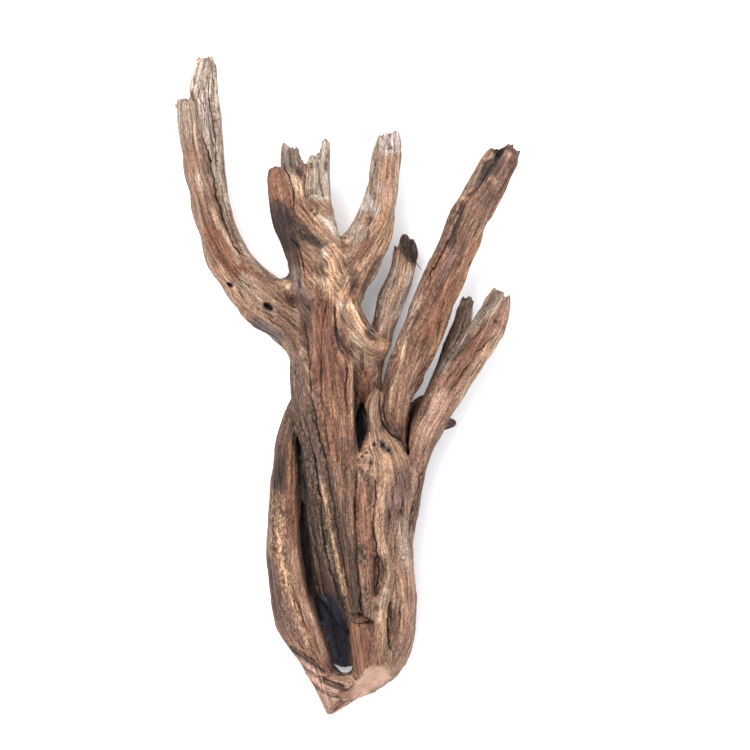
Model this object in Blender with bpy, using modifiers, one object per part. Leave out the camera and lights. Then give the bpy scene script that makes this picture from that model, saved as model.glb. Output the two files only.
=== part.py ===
# A piece of driftwood: the weathered butt of a small tree, lying on its back.
#
# The wood lies along +Y with its broken branches at the far end, and the floor is z = 0.
# It grew as one piece, so it is one solid: every limb is a tube with a fluted skin, lofted
# along its own line, and the limbs are fused into one skin, smoothed and thinned out.
#
# Run it with: blender --background --python part.py
import math

import bmesh
import bpy
import numpy as np
from mathutils import Matrix, Vector, noise

# Driving dimensions, in metres
LENGTH = 0.450
VOXEL = 0.0015
FLOOR = 0.0

# The limbs are laid out on a square grid over the wood: x runs right and y runs down, both in
# squares, and the height above the floor and the half sizes are in squares too.
GRID_LENGTH = 663
SQUARE = LENGTH / GRID_LENGTH
GRID_CENTRE_X = 347
GRID_CENTRE_Y = 385

# The skin of a limb
SIDES = 28
RING_STEP = 2.2
FLUTE_STRETCH = 0.022
SOFTENING_STEPS = 3
TRIANGLES = 11400

# Each station of a limb is (x, y, height, half width, half depth), in squares
LEFT_BRANCH = {
    "rod": [
        (186.5, 101, 52, 11, 10), (190, 120, 53, 13, 13), (193.5, 150, 54, 13.2, 14),
        (199, 180, 55, 13.5, 15), (206.5, 210, 56, 13.8, 16), (214.5, 235, 57, 15, 17),
        (225, 256, 58, 17.5, 18), (238.5, 276, 60, 20.5, 19), (255.5, 295, 62, 22.5, 21),
        (276, 313, 63, 22.5, 24), (300, 337, 62, 18.5, 28), (314, 372, 58, 17, 30),
    ],
    "blade": [
        (207, 58, 45, 3, 3), (204.5, 65, 45, 7, 5), (202, 77, 45, 10.5, 7),
        (200.5, 95, 46, 11, 8), (204, 120, 46, 9, 9), (209, 150, 46, 7, 10),
        (214, 180, 47, 6, 10), (220, 208, 48, 6, 11), (228, 232, 50, 6.5, 12),
        (240, 254, 52, 7, 13), (258, 276, 55, 9, 14), (277, 294, 58, 12, 16),
    ],
    "sliver": [
        (213, 55, 41, 1.8, 3), (214, 65, 41, 2.8, 5), (214.5, 90, 42, 3.5, 7),
        (216.5, 120, 43, 4.5, 8), (218, 150, 43, 5, 9), (221, 180, 44, 4.5, 9),
        (225, 205, 46, 4.2, 9), (231, 228, 48, 4.2, 10), (241, 247, 50, 4.2, 10),
        (254, 266, 53, 5.5, 11), (271, 287, 56, 7, 12),
    ],
    "crotch": [
        (262, 283, 58, 5, 9), (271, 288, 61, 7, 13), (283, 288, 63, 9, 15),
        (299, 288, 64, 10, 17),
    ],
}
STUB = {
    "core": [
        (301, 182, 68, 20, 12), (301, 203, 68, 28, 18), (305, 225, 67, 29, 22),
        (310, 245, 66, 27, 25), (317, 268, 66, 28, 27), (323, 295, 65, 31, 30),
        (327, 325, 63, 32, 32), (330, 360, 56, 32, 31), (332, 400, 50, 33, 31),
    ],
    "left_lobe": [
        (275.5, 168.5, 80, 6.5, 8), (278, 180, 82, 9.8, 11), (280.5, 200, 82, 11, 13),
        (284.5, 220, 80, 11.5, 14), (292, 242, 76, 11, 15), (300, 266, 73, 11, 15),
        (306, 292, 70, 12, 15),
    ],
    "middle_lobe": [
        (293, 149, 66, 7.5, 6), (293, 163, 67, 9, 8), (296, 185, 72, 8, 10),
        (301, 205, 78, 9.5, 12), (308, 228, 78, 12, 13), (315, 252, 76, 14, 14),
        (322, 280, 74, 15, 15),
    ],
    "left_splinter": [
        (283, 143, 62, 2.2, 3), (284, 157, 62, 3.6, 4), (287, 176, 65, 5, 6),
        (292, 198, 70, 6, 9),
    ],
    "right_lobe": [
        (311, 158, 68, 7, 6), (314, 171, 70, 11, 9), (317, 195, 72, 13, 12),
        (320, 215, 73, 14.5, 15), (324, 238, 72, 15, 17), (329, 262, 72, 16, 17),
    ],
    "right_splinter": [
        (325, 139, 66, 3.8, 4), (325.3, 153, 66, 4.8, 5), (325.5, 176, 68, 5, 7),
        (325, 200, 70, 6, 9),
    ],
}
HORN = {
    "ridge": [
        (392, 134, 55, 7, 6), (391.5, 148, 56, 9.5, 9), (390, 168, 58, 9.5, 11),
        (387.3, 192, 60, 10, 12), (382, 220, 62, 11.5, 14), (371.5, 249, 64, 14.5, 16),
        (355, 277, 66, 17, 19), (340, 306, 68, 17, 20),
    ],
    "flank": [
        (382.5, 134, 50, 4, 4), (380, 148, 50, 6.5, 7), (377.8, 168, 51, 8, 10),
        (374.5, 192, 52, 9, 12), (367, 220, 54, 11, 14), (356, 244, 57, 14, 17),
        (342, 268, 60, 17, 20), (333, 296, 62, 20, 24),
    ],
}
KNEE = {
    "arm": [
        (337, 286, 68, 15, 16), (345, 310, 68, 17, 17), (356, 330, 67, 16, 17),
        (368, 343, 66, 14, 16), (378, 348, 67, 12.5, 15), (386, 348.5, 67, 10.5, 13),
        (391, 347, 66, 6.5, 8),
    ],
    "shank": [
        (368, 348, 64, 15, 16), (368, 375, 58, 14, 15), (364, 400, 50, 12, 14),
        (360, 430, 42, 10, 12),
    ],
}
REAR_BRANCH = [
    (404, 243, 30, 6, 6), (404.5, 255, 30, 12.5, 10), (403, 269, 31, 13, 12),
    (398.5, 285, 32, 12.8, 13), (391, 303, 35, 12.8, 13), (385.5, 320, 38, 12.8, 13),
    (380, 342, 42, 12, 14), (373, 372, 46, 13, 15), (366, 400, 46, 13, 16),
]
LONG_BRANCH = {
    "shaft": [
        (513, 150, 84, 7, 6), (507, 160, 84, 11, 9), (498, 176, 84, 12, 12),
        (486.5, 195, 84, 13, 14), (476, 213, 84, 15, 15), (461.5, 241, 82, 17, 16),
        (447, 274, 80, 17.5, 17), (432, 310, 78, 17.5, 17), (421.5, 335, 77, 18, 17),
        (410, 361, 76, 18.5, 17), (401, 387, 74, 16.5, 17), (396, 410, 71, 14, 16),
        (395.5, 428, 66, 11, 13), (396, 446, 58, 9, 10),
    ],
    "rib": [
        (493, 150, 80, 4, 4), (486.5, 160, 80, 4.5, 6), (476, 178, 80, 4.5, 7),
        (465, 197, 80, 5, 8), (454, 216, 80, 5.5, 9), (447, 236, 79, 5.5, 10),
        (435.5, 264, 77, 6, 11), (422.5, 295, 75, 6, 11), (408.5, 328, 73, 7, 12),
        (396, 358, 71, 7, 12), (387, 388, 69, 5.5, 12), (384, 412, 66, 4, 10),
    ],
}
RIGHT_BRANCH = {
    "shaft": [
        (503, 294, 62, 9, 7), (498, 306, 62, 14, 11), (489.5, 322, 62, 16.5, 14),
        (474.5, 348, 62, 17.3, 16), (455.2, 380, 62, 17.2, 17), (437.5, 410, 62, 17, 18),
        (423, 438, 60, 13.5, 19), (414.5, 465, 58, 12.5, 20), (409.5, 490, 56, 12, 21),
        (404, 520, 54, 12, 22), (400, 545, 52, 11.5, 22),
    ],
    "spike": [
        (471, 296, 38, 3.5, 4), (466, 308, 38, 8.5, 6), (460.5, 325, 40, 9.5, 8),
        (452.5, 349, 43, 10, 10), (444, 373, 46, 10, 11), (434, 396, 48, 10, 13),
        (424, 418, 50, 10, 15),
    ],
    "snag": [
        (457, 423, 34, 3.5, 4), (450, 423, 35, 6.5, 6), (438, 424, 40, 8, 10),
        (426, 430, 46, 10, 14),
    ],
    "rear_strip": [
        (421, 450, 40, 3, 8), (419.5, 472, 40, 4, 10), (416, 500, 40, 4.2, 11),
        (411, 524, 41, 4, 11), (406, 545, 42, 4, 10),
    ],
}
RIGHT_BODY = {
    "leaf": [
        (378.5, 388, 80, 1.5, 3), (374, 396, 80, 5, 6), (371.5, 406, 79, 7.5, 8),
        (372.5, 420, 78, 8, 10), (375, 436, 77, 11, 13),
    ],
    "knot": [
        (377, 436, 76, 13, 14), (381, 449, 75, 20, 18), (385, 466, 74, 25, 21),
        (388, 486, 72, 25, 23), (391, 512, 68, 21, 25), (394, 541, 63, 18, 26),
        (399, 570, 60, 15.5, 26), (401.5, 600, 56, 15.2, 26), (401, 630, 50, 13.8, 24),
        (396, 654, 38, 14, 17), (386, 672, 36, 14, 13), (376, 690, 36, 10, 11),
    ],
    "chin": [
        (374, 436, 78, 7, 8), (369, 450, 81, 8.5, 9), (367.5, 465, 82, 8, 9),
        (366.5, 477, 80, 6, 8),
    ],
    "socket": [
        (385, 388, 50, 9, 10), (386, 412, 53, 13, 14), (392, 440, 52, 16, 16),
        (398, 470, 50, 16, 18),
    ],
    "ramp": [
        (376, 462, 60, 14, 16), (380, 500, 62, 18, 18), (382, 560, 60, 17, 18),
        (384, 620, 54, 14, 16), (383, 655, 45, 15, 15), (382, 690, 40, 14, 14),
    ],
}
LEFT_LOBE = [
    (296, 397, 56, 3, 6), (291, 415, 56, 6.5, 12), (287, 440, 56, 11, 18),
    (285.5, 470, 57, 14, 22), (284, 505, 58, 15.5, 26), (284, 540, 60, 16.5, 28),
    (286, 568, 60, 18.5, 29), (290, 595, 60, 20, 29), (298.5, 621, 58, 23, 27),
    (308, 643, 54, 19.5, 25), (318, 663, 49, 15.5, 21), (327.5, 683, 43, 14, 17),
    (330.5, 700, 38, 10.5, 12), (330.5, 717, 35, 3.5, 5),
]
STRANDS = {
    "first": [
        (303, 445, 40, 2, 4), (307, 480, 54, 5, 9), (310, 510, 60, 6.5, 11),
        (314, 540, 60, 8, 11), (319, 570, 56, 8, 11), (326, 598, 47, 7.5, 11),
        (333, 620, 35, 6, 10), (337, 636, 24, 4, 6),
    ],
    "second": [
        (295, 362, 66, 5.5, 9), (297.5, 390, 70, 7, 10), (302, 420, 73, 6.5, 10),
        (307, 445, 73, 6, 10), (312, 475, 73, 6.5, 10), (316.5, 505, 72, 6.5, 10),
        (321, 535, 70, 7, 10), (327, 565, 67, 7, 10), (334, 590, 61, 7, 9),
        (341, 612, 48, 6, 8), (345, 628, 32, 4, 6),
    ],
    "third": [
        (302, 345, 74, 6, 9), (305.5, 380, 79, 6.5, 10), (309, 410, 81, 6.5, 10),
        (314.5, 440, 81, 6.5, 10), (321, 468, 80, 6, 9), (326.5, 495, 79, 5.5, 9),
        (331.5, 525, 78, 5.5, 8), (337.5, 555, 76, 5.5, 8), (344, 585, 73, 5.5, 8),
        (350, 611, 66, 5, 7), (352, 624, 56, 4, 6),
    ],
    "fourth": [
        (314, 330, 82, 5, 8), (316.5, 365, 86, 7, 10), (318.5, 400, 87, 7.5, 10),
        (321, 430, 85, 6, 9), (326, 460, 83, 4.5, 8), (331, 490, 81, 4.5, 8),
        (336, 520, 79, 4.5, 7), (342, 555, 77, 5, 7), (349, 590, 75, 5, 7),
        (353, 612, 71, 4.5, 6),
    ],
    "plank": [
        (323, 292, 82, 11, 11), (325, 318, 87, 14, 12), (329, 345, 91, 14, 13),
        (337, 365, 92, 16.5, 13), (338, 400, 92, 16.5, 14), (341, 435, 91, 15, 14),
        (343.5, 465, 90, 14, 14), (345, 495, 88, 12, 13), (347.5, 525, 86, 10, 12),
        (351, 555, 84, 8, 11), (354.5, 585, 82, 6.5, 10), (357, 611, 79, 5.5, 8),
    ],
    "fifth": [
        (364, 476, 84, 6, 6), (366, 492, 86, 8, 8), (366, 515, 86, 8.5, 9),
        (366.5, 545, 85, 8, 9), (368, 575, 83, 7, 8), (368, 600, 81, 6.5, 8),
        (369, 616, 78, 5.5, 6),
    ],
    "sixth": [
        (384, 474, 92, 4, 6), (382, 500, 92, 6, 8), (381, 525, 90, 6.5, 9),
        (383, 547, 88, 6, 9), (388, 566, 85, 5, 9), (386, 585, 83, 6.5, 9),
        (381, 605, 81, 6.5, 9), (379.5, 630, 74, 7.5, 10), (379, 650, 61, 9, 10),
        (380, 664, 50, 10, 11), (380, 680, 42, 10, 11),
    ],
}
HEART = {
    "upper": [
        (335, 395, 48, 33, 32), (338, 425, 47, 32, 32), (341, 455, 46, 32, 31),
        (345, 490, 46, 33, 31), (348, 530, 44, 33, 31), (353, 565, 42, 31, 30),
        (362, 600, 40, 25, 28), (370, 632, 38, 17, 26), (372, 658, 36, 17, 22),
    ],
    "web": [
        (298, 415, 40, 10, 18), (300, 450, 28, 15, 14), (302, 500, 24, 19, 13),
        (304, 550, 22, 19, 12), (306, 595, 22, 17, 12), (311, 630, 26, 13, 13),
        (319, 660, 34, 12, 16),
    ],
    "sole": [
        (322, 580, 22, 16, 12), (328, 605, 18, 17, 11), (336, 630, 16, 17, 10),
        (341, 648, 17, 14, 9), (343, 658, 19, 8, 7),
    ],
}
# Unseen in the photograph: the ridges of the back, which carry on those of the front
BACK_RIDGES = {
    "left": [
        (300, 290, 54, 6, 8), (306, 335, 37, 9, 12), (303, 400, 30, 10, 12),
        (292, 470, 30, 10, 12), (286, 540, 30, 10, 12), (295, 610, 30, 11, 12),
        (318, 665, 32, 9, 11), (328, 690, 42, 5, 6),
    ],
    "middle": [
        (318, 240, 62, 6, 8), (322, 290, 41, 11, 12), (322, 360, 26, 12, 12),
        (322, 440, 20, 12, 12), (326, 520, 18, 12, 11), (340, 590, 20, 12, 12),
        (366, 640, 22, 12, 12), (376, 662, 36, 7, 8),
    ],
    "right": [
        (346, 285, 60, 6, 8), (350, 330, 42, 10, 12), (352, 400, 24, 12, 12),
        (354, 470, 20, 12, 12), (362, 540, 18, 12, 11), (372, 600, 20, 12, 12),
        (378, 645, 26, 11, 12), (380, 664, 38, 7, 8),
    ],
    "outer": [
        (416, 415, 56, 6, 8), (408, 445, 38, 10, 14), (398, 490, 30, 12, 14),
        (392, 540, 26, 12, 13), (394, 600, 28, 12, 13), (388, 645, 34, 11, 12),
        (380, 668, 42, 7, 8),
    ],
}
BASE = {
    "bridge": [
        (314, 674, 46, 10, 16), (332, 683, 44, 11, 17), (350, 687, 44, 15, 18),
        (368, 684, 42, 19, 19), (384, 674, 39, 16, 15), (396, 665, 38, 12, 12),
    ],
    "toe": [
        (330, 708, 36, 8, 8), (342, 700, 40, 9, 12), (356, 692, 44, 13, 16),
        (372, 686, 44, 16, 18),
    ],
    "block": [
        (361, 616, 56, 9, 8), (361, 625, 64, 12, 11), (363, 642, 62, 12.5, 14),
        (366, 662, 54, 14, 17), (370, 684, 42, 20, 16),
    ],
}
# Three low swellings of the back carry the wood, set round its centre of mass
FEET = {
    "heel": [
        (344, 596, 34, 8, 10), (345, 618, 21, 14, 16), (346, 638, 13.5, 16, 18),
        (347, 651, 13.5, 15, 17), (348, 661, 23, 8, 10),
    ],
    "shoulder": [
        (262, 298, 46, 8, 10), (276, 307, 27, 15, 18), (289, 317, 14, 16, 19),
        (301, 330, 19, 15, 18), (310, 348, 34, 9, 12),
    ],
    "elbow": [
        (424, 402, 42, 7, 9), (419, 410, 25, 11, 16), (413, 423, 14, 13, 19),
        (407, 440, 17, 13, 17), (403, 462, 32, 8, 11),
    ],
}
# Dark scraps of bark that curl over the broken end of the rear branch
BARK_SCRAPS = {
    "outer": [
        (403, 236, 40, 1.5, 2), (404, 241, 41, 4.2, 2.2), (406, 249, 41, 4.6, 2.4),
        (409, 258, 40, 3.4, 2.4), (410, 263, 38, 1.6, 2),
    ],
    "inner": [
        (410, 239, 36, 1.5, 2), (413, 244, 36, 3, 2.4), (415, 252, 35, 2.4, 2.4),
        (415.5, 260, 34, 1.6, 2.4),
    ],
}

# A limb's flute depth as a share of its radius, and how many squares its broken end is torn by
CLEAN = (0.05, 0.0)
WORN = (0.12, 1.5)
TORN = (0.16, 5.0)
SHREDDED = (0.16, 9.0)
LIMBS = [
    (LEFT_BRANCH, {"rod": TORN, "blade": SHREDDED, "sliver": WORN, "crotch": CLEAN}),
    (STUB, {"core": WORN, "left_lobe": WORN, "middle_lobe": TORN, "left_splinter": TORN,
            "right_lobe": SHREDDED, "right_splinter": WORN}),
    (HORN, {"ridge": SHREDDED, "flank": SHREDDED}),
    (KNEE, {"arm": CLEAN, "shank": WORN}),
    ({"rear_branch": REAR_BRANCH}, {"rear_branch": TORN}),
    (LONG_BRANCH, {"shaft": TORN, "rib": TORN}),
    (RIGHT_BRANCH, {"shaft": TORN, "spike": SHREDDED, "snag": TORN, "rear_strip": WORN}),
    (RIGHT_BODY, {name: CLEAN for name in RIGHT_BODY}),
    ({"left_lobe": LEFT_LOBE}, {"left_lobe": CLEAN}),
    (STRANDS, {name: WORN for name in STRANDS}),
    (HEART, {name: WORN for name in HEART}),
    (BACK_RIDGES, {name: WORN for name in BACK_RIDGES}),
    (BASE, {name: CLEAN for name in BASE}),
    (FEET, {name: CLEAN for name in FEET}),
    (BARK_SCRAPS, {name: CLEAN for name in BARK_SCRAPS}),
]

# The saw cut across the base: a point on it, and the way that it faces, on the grid
SAW_POINT = (375, 682.5, 44)
SAW_NORMAL = (0.44, 0.70, 0.52)


def place(x, y, height):
    """The point in metres of a place on the grid."""
    return Vector(((x - GRID_CENTRE_X) * SQUARE, (GRID_CENTRE_Y - y) * SQUARE, height * SQUARE))


def clear_scene():
    for old in list(bpy.data.objects):
        bpy.data.objects.remove(old)


def weathered_wood():
    """Sun-bleached brown wood with a dry, dull surface."""
    material = bpy.data.materials.new("weathered_wood")
    material.use_nodes = True
    surface = material.node_tree.nodes["Principled BSDF"]
    surface.inputs["Base Color"].default_value = (0.235, 0.130, 0.078, 1)
    surface.inputs["Roughness"].default_value = 0.75
    surface.inputs["Metallic"].default_value = 0.0
    material.diffuse_color = (0.235, 0.130, 0.078, 1)
    return material


def smooth_rows(stations):
    """Rows (x, y, height, half width, half depth) a ring step apart, on a smooth curve
    through the stations."""
    stations = np.array(stations, float)
    gaps = np.linalg.norm(np.diff(stations[:, :3], axis=0), axis=1)
    knots = np.concatenate([[0], np.cumsum(gaps)])
    at = np.linspace(0, knots[-1], max(4, math.ceil(knots[-1] / RING_STEP)))
    slopes = np.gradient(stations, knots, axis=0)
    after = np.clip(np.searchsorted(knots, at), 1, len(knots) - 1)
    before = after - 1
    span = (knots[after] - knots[before])[:, None]
    t = (at - knots[before])[:, None] / span
    return (
        (2 * t**3 - 3 * t**2 + 1) * stations[before]
        + (t**3 - 2 * t**2 + t) * span * slopes[before]
        + (3 * t**2 - 2 * t**3) * stations[after]
        + (t**3 - t**2) * span * slopes[after]
    )


def flute(angle, along, seed):
    """From -1 in a furrow to 1 on a ridge. Furrows run along the limb and wander a little."""
    turn = Vector((math.cos(angle) * 1.7, math.sin(angle) * 1.7, along * FLUTE_STRETCH + seed))
    ridge = 1 - 2 * min(1, 2.2 * abs(noise.noise(turn)))
    return -ridge


def loft(stations, flutes, torn, seed):
    """A closed mesh of one limb: rings round a smooth line, fluted along it, with its first
    end torn and hollowed and its last end closed inside the wood."""
    rows = smooth_rows(stations)
    centres = [place(*row[:3]) for row in rows]
    mesh = bmesh.new()
    rings = []
    for i, row in enumerate(rows):
        along = (centres[min(i + 1, len(rows) - 1)] - centres[max(i - 1, 0)]).normalized()
        across = Vector((0, 0, 1)).cross(along).normalized()
        up = along.cross(across)
        ring = []
        for side in range(SIDES):
            angle = 2 * math.pi * side / SIDES
            swell = 1 + flutes * flute(angle, i * RING_STEP, seed)
            offset = across * (math.cos(angle) * max(0.6, row[3]))
            offset += up * (math.sin(angle) * max(0.6, row[4]))
            ring.append(mesh.verts.new(centres[i] + offset * (swell * SQUARE)))
        rings.append(ring)
    tear_end(mesh, rings, centres, torn, seed)
    for near, far in zip(rings, rings[1:]):
        for side in range(SIDES):
            after = (side + 1) % SIDES
            mesh.faces.new((near[side], far[side], far[after], near[after]))
    mesh.faces.new(rings[-1])
    bmesh.ops.recalc_face_normals(mesh, faces=mesh.faces)
    return mesh


def tear_end(mesh, rings, centres, torn, seed):
    """Pulls the first ring out into splinters and closes it with a hollow."""
    out = (centres[0] - centres[1]).normalized()
    for side, vert in enumerate(rings[0]):
        angle = 2 * math.pi * side / SIDES
        jag = noise.noise(Vector((math.cos(angle) * 2.6, math.sin(angle) * 2.6, seed + 9.7)))
        vert.co += out * (torn * SQUARE * 1.6 * jag)
    rim = sum((vert.co for vert in rings[0]), Vector()) / SIDES
    middle = mesh.verts.new(rim - out * (torn * SQUARE * 0.6))
    for side in range(SIDES):
        mesh.faces.new((middle, rings[0][side], rings[0][(side + 1) % SIDES]))


def saw_off(mesh):
    """Cuts a limb by the plane of the saw cut, where it reaches that far, and closes the cut."""
    facing = Vector((SAW_NORMAL[0], -SAW_NORMAL[1], SAW_NORMAL[2])).normalized()
    everything = mesh.verts[:] + mesh.edges[:] + mesh.faces[:]
    bmesh.ops.bisect_plane(
        mesh, geom=everything, plane_co=place(*SAW_POINT), plane_no=facing, clear_outer=True
    )
    rim = [edge for edge in mesh.edges if edge.is_boundary]
    bmesh.ops.holes_fill(mesh, edges=rim)
    bmesh.ops.recalc_face_normals(mesh, faces=mesh.faces)


def all_limbs():
    """The lofted mesh of every limb."""
    made = []
    for group, skins in LIMBS:
        for name, stations in group.items():
            flutes, torn = skins[name]
            limb = loft(stations, flutes, torn, seed=3.7 * len(made))
            saw_off(limb)
            made.append(limb)
    return made


def joined(meshes):
    """One object that holds every limb, still overlapping."""
    whole = bmesh.new()
    for mesh in meshes:
        single = bpy.data.meshes.new("limb")
        mesh.to_mesh(single)
        mesh.free()
        whole.from_mesh(single)
        bpy.data.meshes.remove(single)
    data = bpy.data.meshes.new("limbs")
    whole.to_mesh(data)
    whole.free()
    limbs = bpy.data.objects.new("limbs", data)
    bpy.context.scene.collection.objects.link(limbs)
    return limbs


def evaluated_mesh(source):
    """The object's mesh with its modifiers applied."""
    graph = bpy.context.evaluated_depsgraph_get()
    return bpy.data.meshes.new_from_object(source.evaluated_get(graph))


def fuse(limbs):
    """One skin over all the limbs: a voxel remesh, then a little smoothing that fillets the
    crotches."""
    remesh = limbs.modifiers.new("one skin", "REMESH")
    remesh.mode = "VOXEL"
    remesh.voxel_size = VOXEL
    soften = limbs.modifiers.new("worn edges", "SMOOTH")
    soften.factor = 0.5
    soften.iterations = SOFTENING_STEPS
    return evaluated_mesh(limbs)


def keep_outer_skin(mesh):
    """Removes the walls of sealed cavities, which the fusing leaves inside."""
    unseen = set(mesh.verts)
    skins = []
    while unseen:
        front = [unseen.pop()]
        skin = list(front)
        while front:
            for edge in front.pop().link_edges:
                for vert in edge.verts:
                    if vert in unseen:
                        unseen.remove(vert)
                        front.append(vert)
                        skin.append(vert)
        skins.append(skin)
    skins.sort(key=len)
    for skin in skins[:-1]:
        bmesh.ops.delete(mesh, geom=skin, context="VERTS")


def thin_out(data):
    """Collapses the skin to few triangles, which gather where it bends most."""
    carrier = bpy.data.objects.new("skin", data)
    bpy.context.scene.collection.objects.link(carrier)
    mesh = bmesh.new()
    mesh.from_mesh(data)
    keep_outer_skin(mesh)
    bmesh.ops.triangulate(mesh, faces=mesh.faces)
    count = len(mesh.faces)
    mesh.to_mesh(data)
    mesh.free()
    decimate = carrier.modifiers.new("fewer faces", "DECIMATE")
    decimate.ratio = TRIANGLES / count
    thin = evaluated_mesh(carrier)
    bpy.data.objects.remove(carrier)
    return thin


def set_down(data):
    """Flattens what reaches below the floor, so that each foot stands on a small flat spot."""
    for vert in data.vertices:
        vert.co.z = max(vert.co.z, FLOOR)


def build():
    clear_scene()
    limbs = joined(all_limbs())
    skin = fuse(limbs)
    bpy.data.objects.remove(limbs)
    wood_mesh = thin_out(skin)
    set_down(wood_mesh)
    wood_mesh.name = "driftwood"
    wood_mesh.materials.append(weathered_wood())
    wood_mesh.shade_smooth()
    wood = bpy.data.objects.new("driftwood", wood_mesh)
    collection = bpy.data.collections.new("driftwood")
    bpy.context.scene.collection.children.link(collection)
    collection.objects.link(wood)
    return wood


build()
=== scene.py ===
# %% [markdown]
# # A piece of driftwood
# The wood lies on its back on a pale floor and the camera looks straight down on it. The
# solid from the model is loaded first. Everything below is in metres, in the same frame: +Y
# runs along the trunk towards the broken branches, and the floor is z = 0.

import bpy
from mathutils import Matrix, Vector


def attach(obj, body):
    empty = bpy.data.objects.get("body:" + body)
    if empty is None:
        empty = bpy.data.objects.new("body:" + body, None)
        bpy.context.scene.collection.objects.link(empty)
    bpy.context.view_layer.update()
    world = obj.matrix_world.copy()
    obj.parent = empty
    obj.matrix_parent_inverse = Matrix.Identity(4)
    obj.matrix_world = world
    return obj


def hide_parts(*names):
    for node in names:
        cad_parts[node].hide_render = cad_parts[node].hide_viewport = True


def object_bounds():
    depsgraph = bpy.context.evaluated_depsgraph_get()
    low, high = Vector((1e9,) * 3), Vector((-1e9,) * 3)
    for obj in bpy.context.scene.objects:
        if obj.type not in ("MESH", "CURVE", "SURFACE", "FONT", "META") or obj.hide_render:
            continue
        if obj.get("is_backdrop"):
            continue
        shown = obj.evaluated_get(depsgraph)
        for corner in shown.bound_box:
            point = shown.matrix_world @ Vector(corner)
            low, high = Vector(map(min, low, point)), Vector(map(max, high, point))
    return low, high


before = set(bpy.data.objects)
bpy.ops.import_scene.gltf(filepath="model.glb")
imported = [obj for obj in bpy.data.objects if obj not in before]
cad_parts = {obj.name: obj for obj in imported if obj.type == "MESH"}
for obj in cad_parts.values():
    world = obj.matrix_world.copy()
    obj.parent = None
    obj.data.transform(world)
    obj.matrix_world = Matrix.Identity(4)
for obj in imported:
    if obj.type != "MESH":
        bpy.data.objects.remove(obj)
cad_low, cad_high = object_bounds()

# %% [markdown]
# ## A grid over the wood
# The wood's features are laid out on a square grid: x runs right and y runs down, both in
# squares, as on tracing paper laid over it. One square is the wood's length over 663. Metres
# would do too, but a place on a grid is easier to find again on the wood.

# %% The grid
import math

import bpy
import numpy as np
from mathutils import Matrix, Vector

SQUARE = (cad_high.y - cad_low.y) / 663
CENTRE_X, CENTRE_Y = 347, 385
MM = 0.001


def place(x, y, height=0.0):
    """The point in metres of a place on the grid; the height is in squares too."""
    return Vector(((x - CENTRE_X) * SQUARE, (CENTRE_Y - y) * SQUARE, height * SQUARE))


print(f"one square is {SQUARE / MM:.3f} mm")

# %% [markdown]
# ## The body of the wood
# The wood grew as one piece, so it stays one piece here. Limbs modelled one by one would show
# their joints. So the solid from the model is copied, and the copy is made finer and carved.
# The solid itself is left as it is.

# %% Copy the solid
VOXEL = 0.8 * MM
SAME_POINT = 0.000001  # in metres: closer corners are joined


def select_only(*pieces):
    bpy.ops.object.select_all(action="DESELECT")
    for piece in pieces:
        piece.select_set(True)
    bpy.context.view_layer.objects.active = pieces[0]


def apply_modifier(piece, kind, **settings):
    """Adds a modifier and applies it at once."""
    select_only(piece)
    bpy.ops.object.modifier_add(type=kind)
    modifier = piece.modifiers[-1]
    for name, value in settings.items():
        setattr(modifier, name, value)
    bpy.ops.object.modifier_apply(modifier=modifier.name)


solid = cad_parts["driftwood"]
select_only(solid)
bpy.ops.object.duplicate()
wood = bpy.context.object
wood.name = "weathered_wood"
wood.data.name = "weathered_wood"
bpy.ops.object.mode_set(mode="EDIT")
bpy.ops.mesh.select_all(action="SELECT")
bpy.ops.mesh.remove_doubles(threshold=SAME_POINT)
bpy.ops.object.mode_set(mode="OBJECT")
print("faces of the copy:", len(wood.data.polygons))

# %% [markdown]
# ## Deep gaps
# Where two limbs lie side by side, the soft wood between them has rotted away and left gaps so
# deep that they look black. Skin that is pushed down so far would stretch, so these gaps are
# cut. For each one a thick blade is modelled from a flat grid, whose rows are set along the gap
# and made as wide as it is, and extruded upwards. A boolean then takes the blade out of the
# wood.

# %% Cut the deep gaps
# Each gap: the height of its floor in squares, and its rows: x, y and half width in squares
GAPS = {
    "beside the left lobe": (54, [
        (296, 430, 0.5), (298, 445, 1.8), (300, 462, 2.8), (302, 485, 3.4), (303.5, 510, 4.0),
        (306, 540, 4.8), (309, 570, 5.6), (314, 596, 6.4),
    ]),
    "slot above the base": (15, [
        (317, 598, 3.0), (322, 609, 7.0), (329, 624, 9.8), (336, 640, 11.0),
        (341, 655, 10.6), (343.5, 667, 9.4),
    ]),
    "cavity": (26, [
        (361.5, 402, 1.2), (361.5, 411, 5.2), (361.5, 420, 6.4), (361.5, 430, 5.8),
        (360.5, 440, 3.6), (359.6, 449, 1.0),
    ]),
    "beside the knob": (30, [
        (397.5, 335, 0.8), (394, 343, 2.2), (390, 352, 2.6), (386, 362, 2.4), (383.6, 374, 2.0),
        (381.4, 388, 1.3), (379.8, 400, 0.5),
    ]),
    "below the long branch": (30, [
        (419, 388, 1.0), (415, 399, 3.6), (411, 412, 3.2), (408.4, 426, 2.0), (407.4, 440, 1.8),
        (408.6, 455, 1.3), (411, 466, 0.5),
    ]),
    "end of the long branch": (86, [
        (500, 146, 4.6), (495, 154, 5.2), (489, 162, 4.6), (481, 172, 3.2), (474, 183, 2.2),
        (467, 195, 1.0),
    ]),
}


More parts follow.
